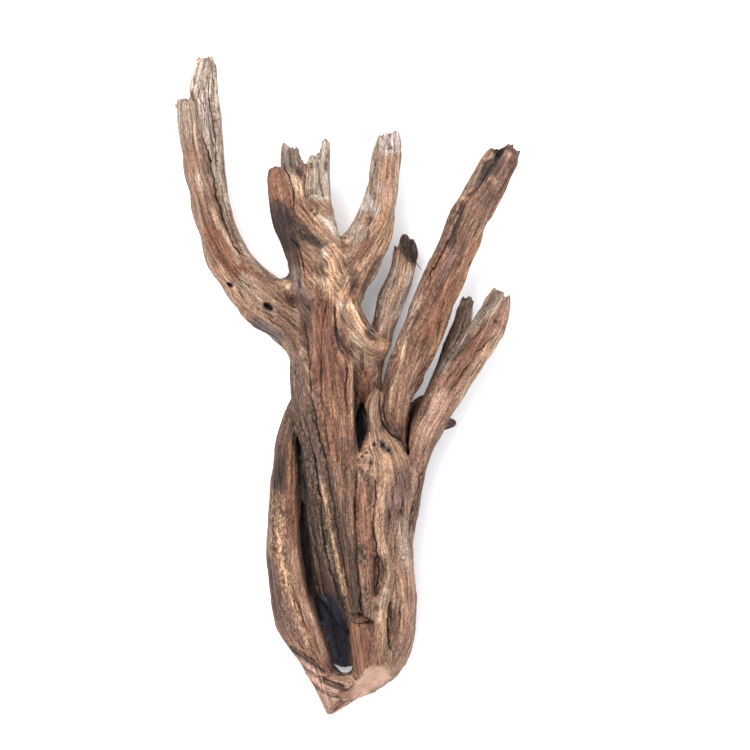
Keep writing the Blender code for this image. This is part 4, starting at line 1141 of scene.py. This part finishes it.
    ("cocoa", 6, 0.7, 0.3, [(436, 374), (428, 392), (422, 408)]),
    ("blush", 8, 0.7, 0.2, [(440, 398), (430, 420), (422, 440)]),
    ("tan", 7, 0.6, 0.1, [(420, 440), (414, 464), (408, 486)]),
    ("umber", 3, 0.9, 0.3, [(429, 461), (423, 480), (418, 498), (413, 518), (411, 528)]),
    ("clay", 11, 0.8, 0.1, [(322, 305), (320, 335), (320, 365)]),
    ("brick", 8, 0.8, 0.0, [(324, 306), (324, 340), (326, 372)]),
    ("cocoa", 2.4, 0.7, 0.0, [(328, 310), (328, 345), (330, 370)]),
    ("brick", 12, 0.6, 0.1, [(338, 370), (340, 400), (342, 440)]),
    ("honey", 4, 0.6, 0.2, [(333, 395), (334, 415)]),
    ("clay", 6, 0.6, 0.2, [(346, 420), (350, 446), (348, 466)]),
    ("wheat", 2, 0.8, 0.2, [(350.5, 362), (351, 400), (352, 425)]),
    ("peat", 2.2, 0.7, 0.2, [(343, 440), (346, 462), (347, 480)]),
    ("umber", 6, 0.8, 0.1, [(346, 500), (349, 530), (352, 560)]),
    ("peat", 6, 0.8, 0.1, [(351, 545), (353, 570), (356, 604)]),
    ("tan", 2, 0.7, 0.3, [(350, 470), (350, 500), (351, 540)]),
    ("peat", 5, 0.8, 0.2, [(330, 500), (337, 540), (345, 584)]),
    ("wheat", 2.2, 0.9, 0.9, [(323, 486), (330, 520), (337, 556), (345, 592)]),
    ("peat", 4, 0.8, 0.2, [(330, 470), (337, 505), (343, 545)]),
    ("cocoa", 3, 0.7, 0.1, [(310, 340), (314, 380), (318, 420)]),
    ("umber", 4, 0.8, 0.1, [(302, 360), (306, 400), (314, 440)]),
    ("plum", 3, 0.6, 0.2, [(298, 345), (300, 380), (304, 410)]),
    ("peat", 5, 0.8, 0.1, [(312, 500), (318, 540), (326, 580)]),
    ("umber", 6, 0.9, 0.0, [(320, 570), (330, 598), (338, 618)]),
    # Near black down the slot above the base: painted shade
    ("shade_and_bark_black", 13, 1.0, 0.0, [(326, 606), (336, 632), (341, 660)]),
    # Dark grey down the gap beside the left lobe: painted shade
    ("gap_shade_grey", 4, 0.85, 0.0, [(298, 444), (302, 475), (305, 520), (308, 560)]),
    # Near black at the lower end of that gap: painted shade
    ("char_and_shade", 5.5, 0.9, 0.0, [(308, 560), (314, 596)]),
    ("rust", 7, 0.85, 0.0, [(364, 374), (363, 388), (362, 398)]),
    ("umber", 2.4, 0.9, 0.0, [(356.5, 372), (356.5, 400)]),
    # Near black in the cavity: painted shade
    ("shade_and_bark_black", 7, 1.0, 0.0, [(361, 414), (361, 427), (360, 442)]),
    ("tan", 4, 0.7, 0.2, [(374, 392), (371, 410), (374, 430)]),
    ("blush", 8, 0.8, 0.7, [(366, 446), (365, 462), (365, 474)]),
    ("rose", 5, 0.7, 0.6, [(376, 438), (372, 446)]),
    ("wheat", 9, 0.6, 0.2, [(384, 452), (390, 466), (388, 480)]),
    ("wheat", 4, 0.7, 0.1, [(386, 434), (396, 446), (403, 456)]),
    ("peat", 3, 0.8, 0.1, [(384, 424), (393, 432), (402, 441)]),
    ("char_and_shade", 3, 0.8, 0.1, [(381, 442), (384, 447), (389, 450)]),
    # Near black in the two pits by the knot: painted shade
    ("shade_and_bark_black", 1.8, 1.0, 0.0, [(382, 444), (383.4, 446)]),
    ("shade_and_bark_black", 1.5, 1.0, 0.0, [(388, 449.5), (389.4, 450.5)]),
    ("umber", 1.3, 0.9, 0.0, [(362, 456), (363, 457)]),
    ("umber", 1.5, 0.9, 0.0, [(371, 460.5), (371, 464)]),
    ("umber", 1.2, 0.9, 0.0, [(359, 468), (361, 468)]),
    ("peat", 1.6, 0.9, 0.0, [(373, 443), (375, 445)]),
    # Near black in the two flight holes: painted shade
    ("shade_and_bark_black", 1.6, 1.0, 0.0, [(229, 284.2), (232.2, 285.8)]),
    ("shade_and_bark_black", 2.2, 1.0, 0.0, [(266, 305), (271, 309)]),
    ("plum", 5, 0.7, 0.2, [(366, 480), (370, 488)]),
    ("plum", 9, 0.8, 0.1, [(402, 474), (398, 494), (392, 516)]),
    ("silver", 6, 0.6, 0.2, [(400, 520), (404, 545), (408, 565)]),
    ("sand", 5, 0.6, 0.1, [(388, 545), (398, 570), (406, 600)]),
    ("sand", 6, 0.8, 0.1, [(408, 575), (408, 605), (403, 640)]),
    ("blush", 2, 0.6, 0.1, [(411, 560), (412, 600), (409, 630)]),
    ("clay", 6, 0.7, 0.1, [(364, 490), (364, 530), (364, 570)]),
    ("umber", 4, 0.8, 0.3, [(367, 586), (368, 600), (367, 614)]),
    ("peat", 4, 0.8, 0.4, [(361, 546), (362, 560)]),
    ("sand", 4, 0.8, 0.6, [(381, 486), (380, 515), (381, 545)]),
    ("umber", 2.6, 0.8, 0.5, [(386, 556), (384, 575), (378, 592)]),
    ("char_and_shade", 3, 0.9, 0.2, [(376, 604), (380, 610)]),
    ("bone", 2.6, 0.7, 0.6, [(386, 590), (382, 606), (378, 618)]),
    ("wheat", 5.5, 0.85, 0.3, [(384, 612), (384, 636), (384, 654)]),
    ("clay", 4, 0.7, 0.3, [(377, 622), (377, 645), (378, 660)]),
    ("russet", 12, 0.8, 0.1, [(362, 632), (362, 648), (362, 662)]),
    ("rust", 4, 0.8, 0.1, [(353, 628), (358, 634)]),
    ("cocoa", 4, 0.8, 0.2, [(366, 626), (372, 630)]),
    ("cocoa", 6, 0.9, 0.0, [(394, 612), (394, 632), (393, 646)]),
    ("clay", 4, 0.7, 0.2, [(384, 660), (392, 664)]),
    ("umber", 10, 0.9, 0.2, [(291, 404), (287, 424), (283, 446)]),
    ("umber", 9, 0.8, 0.1, [(283, 440), (282, 456)]),
    ("peat", 8, 0.95, 0.0, [(281, 464), (280, 476), (282, 488)]),
    ("char_and_shade", 5, 0.7, 0.0, [(280, 470), (280, 484)]),
    ("russet", 3, 0.7, 0.2, [(290, 462), (291, 480)]),
    ("honey", 3, 0.9, 0.2, [(291, 448), (291.5, 462), (291, 476)]),
    ("clay", 5, 0.5, 0.1, [(292, 480), (293, 510), (294, 540)]),
    ("cocoa", 9, 0.8, 0.5, [(277, 502), (277, 535), (282, 565), (288, 592)]),
        ("wheat", 2.4, 0.8, 1.0, [(280, 516), (280, 545), (284, 572)]),
    ("umber", 7, 1.0, 0.1, [(270, 562), (274, 586), (281, 608), (287, 624)]),
    ("wheat", 2.4, 0.9, 0.9, [(284, 562), (290, 590), (298, 615), (307, 642)]),
    ("sand", 5, 0.8, 0.0, [(292, 545), (297, 578), (306, 608), (316, 636), (324, 656)]),
    ("honey", 3, 0.4, 0.1, [(290, 590), (300, 616), (310, 640)]),
    ("plum", 5, 0.6, 0.3, [(284, 606), (292, 624), (300, 642)]),
    ("bone", 2.4, 0.7, 0.4, [(284, 644), (298, 654), (312, 664)]),
    ("cocoa", 3, 0.7, 0.1, [(292, 650), (306, 660), (322, 672)]),
    ("sand", 8, 0.8, 0.1, [(320, 676), (332, 684), (344, 688)]),
    ("blush", 10, 0.95, 0.1, [(326, 692), (331, 706), (331, 716)]),
    ("brick", 3, 0.7, 0.2, [(340, 694), (338, 704), (333, 710)]),
    ("umber", 2.6, 0.7, 0.1, [(340, 683), (343, 689)]),
    ("blush", 2.6, 0.9, 0.1, [(288, 651), (302, 662), (316, 672)]),
    ("blush", 3, 0.9, 0.1, [(303, 673), (318, 681), (332, 687)]),
    ("peat", 1.5, 0.9, 0.0, [(286, 645), (300, 654), (314, 664), (324, 671)]),
    ("peat", 1.5, 0.9, 0.0, [(320, 680), (335, 686), (346, 690)]),
    ("peat", 1.2, 0.8, 0.0, [(316, 688), (330, 695), (343, 703)]),
    ("umber", 1.4, 0.9, 0.0, [(494.6, 321), (496.4, 323)]),
]
points, normals = mesh_points(wood), mesh_normals(wood)
limbs = nearest_limbs(points)[0]
names = list(PALETTE)
tints = np.array([colour(code)[:3] for code in PALETTE.values()]) * GRAIN_LOSS
tints *= np.minimum(1, BRIGHTEST / tints.max(1))[:, None]
own = [names.index(LIMB_COLOURS[name]) for name in SPINES]
tint = np.column_stack([tints[own][limbs], np.full(len(points), 0.25)])
seen = topmost(points, normals, 9 * MM)
along, around = np.zeros(len(points)), np.zeros(len(points))
for number in np.unique(limbs):
    chosen = np.flatnonzero(limbs == number)
    around[chosen], along[chosen], _ = grain_of(points[chosen], number)
    around[chosen] += SHIFT_ROUND * number
streak = noise(around / (1.8 * MM), along / (16 * MM), 0, 31)
streak += 0.7 * noise(around / (4.5 * MM), along / (34 * MM), 0, 32)
weathering = noise(around / (9 * MM), along / (45 * MM), 0, 33)
for shade, low, high in (("silver", 0.05, 0.5), ("umber", 0.1, 0.5)):
    level = weathering if shade == "silver" else -weathering
    amount = 0.5 * ramp(level + 0.25 * streak, low, high)[:, None] * (1 - 0.6 * seen[:, None])
    tint[:, :3] += (tints[names.index(shade)] - tint[:, :3]) * amount
for shade, half, strength, flaking, line in STROKES:
    close = near_line(points, line, BRUSH_REACH * half * SQUARE)
    apart, _, _ = line_distance(points[close], line)
    apart = apart + streak[close] * min(1.8, 0.4 * half) * SQUARE
    brush = 1 - ramp(apart, BRUSH_FULL * half * SQUARE, BRUSH_END * half * SQUARE)
    brush *= seen[close] * min(1, 1.15 * strength)
    wanted = np.append(tints[names.index(shade)], flaking)
    tint[close] += (wanted - tint[close]) * brush[:, None]
print("strokes:", len(STROKES))

# %% [markdown]
# ## Hollows, drawn cracks and the sawn face
# The hollows are darkened as painted shade, and the ridges are made paler. A point is in a
# hollow where its neighbours, evened out, stand above it. The drawn cracks are stored as a
# signed distance: it changes evenly from face to face, so the material can draw a line far
# thinner than a face.

# %% Store what the material needs


def evened(piece, values, rounds):
    """Values averaged over each point's neighbours, again and again."""
    edges = np.empty(len(piece.data.edges) * 2, np.int32)
    piece.data.edges.foreach_get("vertices", edges)
    a, b = edges.reshape(-1, 2).T
    links = np.bincount(a, minlength=len(values)) + np.bincount(b, minlength=len(values))
    for _ in range(rounds):
        total = np.zeros_like(values)
        for column in range(values.shape[1]):
            total[:, column] = np.bincount(a, values[b, column], len(values))
            total[:, column] += np.bincount(b, values[a, column], len(values))
        values = 0.5 * values + 0.5 * total / links[:, None]
    return values


def store(piece, name, rows):
    layer = piece.data.attributes.new(name, "FLOAT_COLOR", "POINT")
    layer.data.foreach_set("color", np.ascontiguousarray(rows, np.float32).ravel())


SAWN_OUTLINE = [
    (356, 683), (359, 676), (364, 670), (369, 666.5), (375, 665), (381, 666.5), (387, 670),
    (391, 677), (388, 682), (382, 686), (375, 690), (368, 694), (361, 699), (354, 700), (350, 694),
    (353, 688),
]


def inside_outline(points, corners):
    """How far each point lies inside a closed outline on the grid, in metres."""
    ring = corners + corners[:1]
    apart = line_distance(points, ring)[0]
    spots = np.array([place(x, y)[:2] for x, y in ring])
    crossings = np.zeros(len(points), int)
    for (x1, y1), (x2, y2) in zip(spots[:-1], spots[1:]):
        spans = (points[:, 1] > min(y1, y2)) & (points[:, 1] <= max(y1, y2))
        crossings += spans & (points[:, 0] < x1 + (points[:, 1] - y1) * (x2 - x1) / (y2 - y1))
    return np.where(crossings % 2 == 1, apart, -apart)


tint = evened(wood, tint, 1)
# How deep each point lies in a hollow: the material darkens the hollows by it as painted shade
sunk = ((evened(wood, points, 10) - points) * normals).sum(1)
hollow = np.clip(0.5 + sunk / (1.5 * MM), 0, 1)
side = np.full(len(points), 3.0)
power = np.zeros(len(points))
carved = topmost(points, normals, 12 * MM)
for half, deep, line in CRACKS:
    close = near_line(points, line, 3 * MM)
    apart, sign, from_end = line_distance(wandering(points[close]), line)
    wide = max(0.6, half)
    better = apart / MM / wide < np.abs(side[close])
    won = close[better]
    side[won] = (sign * apart)[better] / MM / wide
    fade = ramp(from_end[better], -0.5 * MM, 9 * MM)
    fade = fade * (1 - ramp(apart[better], 0.9 * wide * MM, 1.6 * wide * MM))
    power[won] = fade * carved[won] * min(1, 0.3 + deep / 5)
sawn = ramp((points - SAW_POINT) @ SAW_FACING, -0.3 * MM, -0.1 * MM)
sawn *= ramp(inside_outline(points, SAWN_OUTLINE), -0.5 * MM, 0.3 * MM)
store(wood, "tint", tint)
store(wood, "hollow_shade_cracks_and_sawn", np.stack([hollow, power, side, sawn], 1))
print("hollow:", hollow.mean().round(3), "sawn points:", int((sawn > 0.5).sum()))

# %% [markdown]
# ## Wrapping the grain round the wood
# The material draws the grain on a UV map: U runs round each limb and V along it, both in
# metres. All corners of a face use the same limb, so no streak is smeared between two limbs.

# %% Unwrap by the limbs
faces = np.empty(len(wood.data.polygons) * 3, np.int32)
wood.data.polygons.foreach_get("vertices", faces)
faces = faces.reshape(-1, 3)
centres = points[faces].mean(1)
face_limbs = nearest_limbs(centres)[0]
grain = np.zeros((len(faces), 3, 2))
for number in np.unique(face_limbs):
    chosen = np.flatnonzero(face_limbs == number)
    middle, _, radius = grain_of(centres[chosen], number)
    around, along, _ = grain_of(points[faces[chosen]].reshape(-1, 3), number)
    around, girth = around.reshape(-1, 3), 2 * np.pi * radius
    around = around + girth * np.round((middle[:, None] - around) / girth)
    grain[chosen, :, 0] = around + SHIFT_ROUND * number
    grain[chosen, :, 1] = along.reshape(-1, 3) + SHIFT_ALONG * number
layer = wood.data.uv_layers.new(name="grain")
layer.uv.foreach_set("vector", grain.astype(np.float32).ravel())
print("corners on the map:", grain.shape[0] * 3)

# %% [markdown]
# ## The material: bare weathered wood
# Driftwood has lost its bark and its surface has dried, so it is dull: the roughness is high,
# and the index of refraction is that of plain wood fibre, about 1.5. The painted tint gives the
# broad colour. The grain is drawn over it with noise stretched along the limbs: growth rings
# about 2 mm apart, fibres under a millimetre wide, pores like short dark dashes, and a pale
# granular crust where the stored flaking is high. Real fibres are finer still, and are drawn as
# coarse as they need to be to show. The hollows are darkened as painted shade, the ridges are
# made paler, and drawn cracks get dirt.

# %% A node helper


def add(tree, kind, inputs=(), out=0, **settings):
    """Adds a node and gives one of its outputs. The settings are its properties, and the inputs
    are values or sockets by their number or name."""
    node = tree.nodes.new(kind)
    for name, value in settings.items():
        setattr(node, name, value)
    for where, value in dict(inputs).items():
        if isinstance(value, bpy.types.NodeSocket):
            tree.links.new(value, node.inputs[where])
        else:
            node.inputs[where].default_value = value
    return node.outputs[out]


def new_material(name):
    material = bpy.data.materials.new(name)
    material.use_nodes = True
    return material, material.node_tree, material.node_tree.nodes["Principled BSDF"]


print("materials so far:", len(bpy.data.materials))

# %% Patterns that follow the grain
# Each pattern: width across and length along the grain in mm, detail, roughness, and the two
# values of the noise that become 0 and 1
PATTERNS = {
    "mottle": (8.0, 30, 3.0, 0.60, 0.34, 0.66),
    "bands": (4.2, 60, 3.0, 0.55, 0.33, 0.67),
    "rings": (1.7, 26, 3.0, 0.62, 0.32, 0.68),
    "fibres": (0.75, 11, 2.0, 0.60, 0.30, 0.70),
    "crust": (1.5, 3.4, 4.0, 0.72, 0.46, 0.60),
    "grit": (0.9, 1.3, 2.0, 0.60, 0.56, 0.70),
    "wander": (2.4, 44, 1.0, 0.50, 0.0, 1.0),
    "gaps in the threads": (6.0, 20, 1.0, 0.50, 0.45, 0.60),
}
weathered, tree, surface = new_material("weathered_bare_wood")
grain_map = add(tree, "ShaderNodeUVMap", uv_map="grain")
pattern = {}
for order, (name, (across, along, detail, rough, low, high)) in enumerate(PATTERNS.items()):
    stretched = add(
        tree, "ShaderNodeMapping",
        {"Vector": grain_map, "Location": (3.1 * order, 1.7 * order, 0),
         "Scale": (1 / (across * MM), 1 / (along * MM), 1)},
    )
    cloudy = add(
        tree, "ShaderNodeTexNoise",
        {"Vector": stretched, "Scale": 1.0, "Detail": detail, "Roughness": rough},
        out="Fac", noise_dimensions="2D",
    )
    pattern[name] = add(
        tree, "ShaderNodeMapRange", {"Value": cloudy, "From Min": low, "From Max": high},
        interpolation_type="SMOOTHSTEP" if low > 0 else "LINEAR",
    )
print("patterns:", list(pattern))

# %% Pores and threads
# A pore is a dark dash about 0.5 mm wide and 1.6 mm long, and a thread is a hair crack
pore_map = add(
    tree, "ShaderNodeMapping", {"Vector": grain_map, "Scale": (1 / (1.1 * MM), 1 / (3.2 * MM), 1)}
)
pore_cells = add(
    tree, "ShaderNodeTexVoronoi", {"Vector": pore_map, "Scale": 1.0, "Randomness": 1.0},
    out="Distance", voronoi_dimensions="2D",
)
pores = add(
    tree, "ShaderNodeMapRange",
    {"Value": pore_cells, "From Min": 0.16, "From Max": 0.30, "To Min": 1.0, "To Max": 0.0},
)
from_middle = add(tree, "ShaderNodeMath", {0: pattern["wander"], 1: 0.5}, operation="SUBTRACT")
from_middle = add(tree, "ShaderNodeMath", {0: from_middle}, operation="ABSOLUTE")
hair = add(
    tree, "ShaderNodeMapRange",
    {"Value": from_middle, "From Min": 0.006, "From Max": 0.026, "To Min": 1.0, "To Max": 0.0},
    interpolation_type="SMOOTHSTEP",
)
threads = add(
    tree, "ShaderNodeMath", {0: hair, 1: pattern["gaps in the threads"]}, operation="MULTIPLY"
)
print("nodes so far:", len(tree.nodes))

# %% What is stored on the points
painted = add(tree, "ShaderNodeAttribute", out="Color", attribute_name="tint")
flaking = add(tree, "ShaderNodeAttribute", out="Alpha", attribute_name="tint")
hollow_shade_cracks_and_sawn = add(tree, "ShaderNodeAttribute", out="Color", attribute_name="hollow_shade_cracks_and_sawn")
sawn_here = add(tree, "ShaderNodeAttribute", out="Alpha", attribute_name="hollow_shade_cracks_and_sawn")
sunken = add(tree, "ShaderNodeSeparateColor", {0: hollow_shade_cracks_and_sawn}, out="Red")
crack_power = add(tree, "ShaderNodeSeparateColor", {0: hollow_shade_cracks_and_sawn}, out="Green")
crack_side = add(tree, "ShaderNodeSeparateColor", {0: hollow_shade_cracks_and_sawn}, out="Blue")
crack_apart = add(tree, "ShaderNodeMath", {0: crack_side}, operation="ABSOLUTE")
crack_line = add(
    tree, "ShaderNodeMapRange",
    {"Value": crack_apart, "From Min": 0.12, "From Max": 0.60, "To Min": 1.0, "To Max": 0.0},
    interpolation_type="SMOOTHSTEP",
)
drawn = add(tree, "ShaderNodeMath", {0: crack_line, 1: crack_power}, operation="MULTIPLY")
# The first mask darkens the hollows as painted shade; the second makes the ridges paler
deep = add(tree, "ShaderNodeMapRange", {"Value": sunken, "From Min": 0.56, "From Max": 0.92})
raised = add(tree, "ShaderNodeMapRange", {"Value": sunken, "From Min": 0.44, "From Max": 0.20})
crusted = add(tree, "ShaderNodeMath", {0: pattern["crust"], 1: flaking}, operation="MULTIPLY")
bared = add(tree, "ShaderNodeMath", {0: flaking, 1: crusted}, operation="SUBTRACT")
print("nodes so far:", len(tree.nodes))

# %% Lay the colours over each other
# Each layer: what it is mixed in by, how strongly, the way of mixing and its colour
LAYERS = [
    (pattern["mottle"], 0.34, "MULTIPLY", "#b08574"),
    (pattern["bands"], 0.42, "MULTIPLY", "#86705f"),
    (pattern["rings"], 0.60, "MULTIPLY", "#8a7062"),
    (pattern["fibres"], 0.56, "MULTIPLY", "#84695a"),
    (bared, 0.45, "MULTIPLY", "#9a7763"),
    (crusted, 0.50, "MIX", "#d8b791"),
    # the ridges made paler
    (raised, 0.60, "DODGE", "#857a74"),
    (pattern["grit"], 0.50, "MULTIPLY", "#735a4c"),
    (pores, 0.50, "MULTIPLY", "#664a3b"),
    (threads, 0.72, "MULTIPLY", "#4d3428"),
    # painted shade in the hollows
    (deep, 0.75, "MULTIPLY", "#5d4235"),
    (drawn, 0.80, "MULTIPLY", "#4d372d"),
]
skin = painted
for mask, strength, way, code in LAYERS:
    amount = add(tree, "ShaderNodeMath", {0: mask, 1: strength}, operation="MULTIPLY")
    skin = add(
        tree, "ShaderNodeMix", {0: amount, 6: skin, 7: colour(code)}, out=2,
        data_type="RGBA", blend_type=way,
    )
where = add(tree, "ShaderNodeTexCoord", out="Object")
clouds = add(
    tree, "ShaderNodeTexNoise", {"Vector": where, "Scale": 90.0, "Detail": 4.0, "Roughness": 0.6},
    out="Fac",
)
stained = add(tree, "ShaderNodeMapRange", {"Value": clouds, "From Min": 0.40, "From Max": 0.68})
end_grain = add(
    tree, "ShaderNodeMix", {0: stained, 6: colour("#ac8a76"), 7: colour("#8b6c5c")}, out=2,
    data_type="RGBA",
)
skin = add(tree, "ShaderNodeMix", {0: sawn_here, 6: skin, 7: end_grain}, out=2, data_type="RGBA")
tree.links.new(skin, surface.inputs["Base Color"])
print("layers:", len(LAYERS))

# %% Dullness and fine relief
dull = add(
    tree, "ShaderNodeMapRange", {"Value": pattern["rings"], "To Min": 0.64, "To Max": 0.88}
)
tree.links.new(dull, surface.inputs["Roughness"])
surface.inputs["IOR"].default_value = 1.5
surface.inputs["Metallic"].default_value = 0.0
surface.inputs["Specular IOR Level"].default_value = 0.35
height = add(tree, "ShaderNodeMath", {0: pattern["fibres"], 1: 0.5}, operation="MULTIPLY")
for lowering, share in ((pattern["rings"], -0.9), (threads, -0.9), (pores, -0.5), (drawn, -1.5)):
    height = add(
        tree, "ShaderNodeMath", {0: lowering, 1: share, 2: height}, operation="MULTIPLY_ADD"
    )
smooth_saw = add(tree, "ShaderNodeMapRange", {"Value": sawn_here, "To Min": 1.0, "To Max": 0.1})
height = add(tree, "ShaderNodeMath", {0: height, 1: smooth_saw}, operation="MULTIPLY")
bump = add(tree, "ShaderNodeBump", {"Height": height, "Strength": 0.6, "Distance": 0.5 * MM})
tree.links.new(bump, surface.inputs["Normal"])
wood.data.materials.clear()
wood.data.materials.append(weathered)
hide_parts("driftwood")
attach(wood, "root")
print("material nodes:", len(tree.nodes))

# %% [markdown]
# ## Floor, light and camera
# A plain pale floor, one large soft light from the upper left and a pale sky, as in a room with
# a window. The camera looks straight down from far away through a long lens, because a near one
# would make the high branches look too large.

# %% Floor
bpy.ops.object.select_all(action="DESELECT")
bpy.ops.mesh.primitive_plane_add(size=6, location=(0, 0, 0))
floor = bpy.context.object
floor.name = "floor"
floor_paint, _, floor_surface = new_material("matt_white_floor")
floor_surface.inputs["Base Color"].default_value = colour("#f9f9fa")
floor_surface.inputs["Roughness"].default_value = 0.9
floor.data.materials.append(floor_paint)
floor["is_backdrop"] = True
print("floor:", floor.dimensions[:2])

# %% Lights


def area_light(name, location, size, power, tint="#ffffff"):
    bpy.ops.object.light_add(type="AREA", location=location)
    lamp = bpy.context.object
    lamp.name = name
    lamp.data.size = size
    lamp.data.energy = power
    lamp.data.color = colour(tint)[:3]
    lamp.rotation_euler = (-Vector(location)).to_track_quat("-Z", "Y").to_euler()
    return lamp


area_light("window_light", (-0.6, 0.55, 2.1), 1.1, 43, "#fffaf4")
sky = bpy.data.worlds.new("pale_sky")
bpy.context.scene.world = sky
sky.use_nodes = True
sky.node_tree.nodes["Background"].inputs["Color"].default_value = colour("#fbfcff")
sky.node_tree.nodes["Background"].inputs["Strength"].default_value = 1.62
bpy.context.scene.view_settings.view_transform = "Standard"

# %% Camera
PHOTO_PIXELS = 750
DISTANCE = 4.0
SEEN_WIDTH = PHOTO_PIXELS * SQUARE
EYE_LEVEL = 35 * MM
middle = place(375, 375)
bpy.ops.object.camera_add(location=(middle.x, middle.y, EYE_LEVEL + DISTANCE), rotation=(0, 0, 0))
camera = bpy.context.object
camera.data.sensor_width = 36
camera.data.lens = camera.data.sensor_width * DISTANCE / SEEN_WIDTH
camera.data.clip_end = 20
bpy.context.scene.camera = camera
print(f"lens: {camera.data.lens:.0f} mm")

# %% [markdown]
# ## The size of the finished wood
# The finish mustn't change the size of the wood. So the box round the dressed wood is printed
# beside the box round the solid, and they should match within a few millimetres.

# %% Print the boxes
low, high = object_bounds()
print("solid:", [round(v / MM, 1) for v in cad_high - cad_low])
print("dressed:", [round(v / MM, 1) for v in high - low])
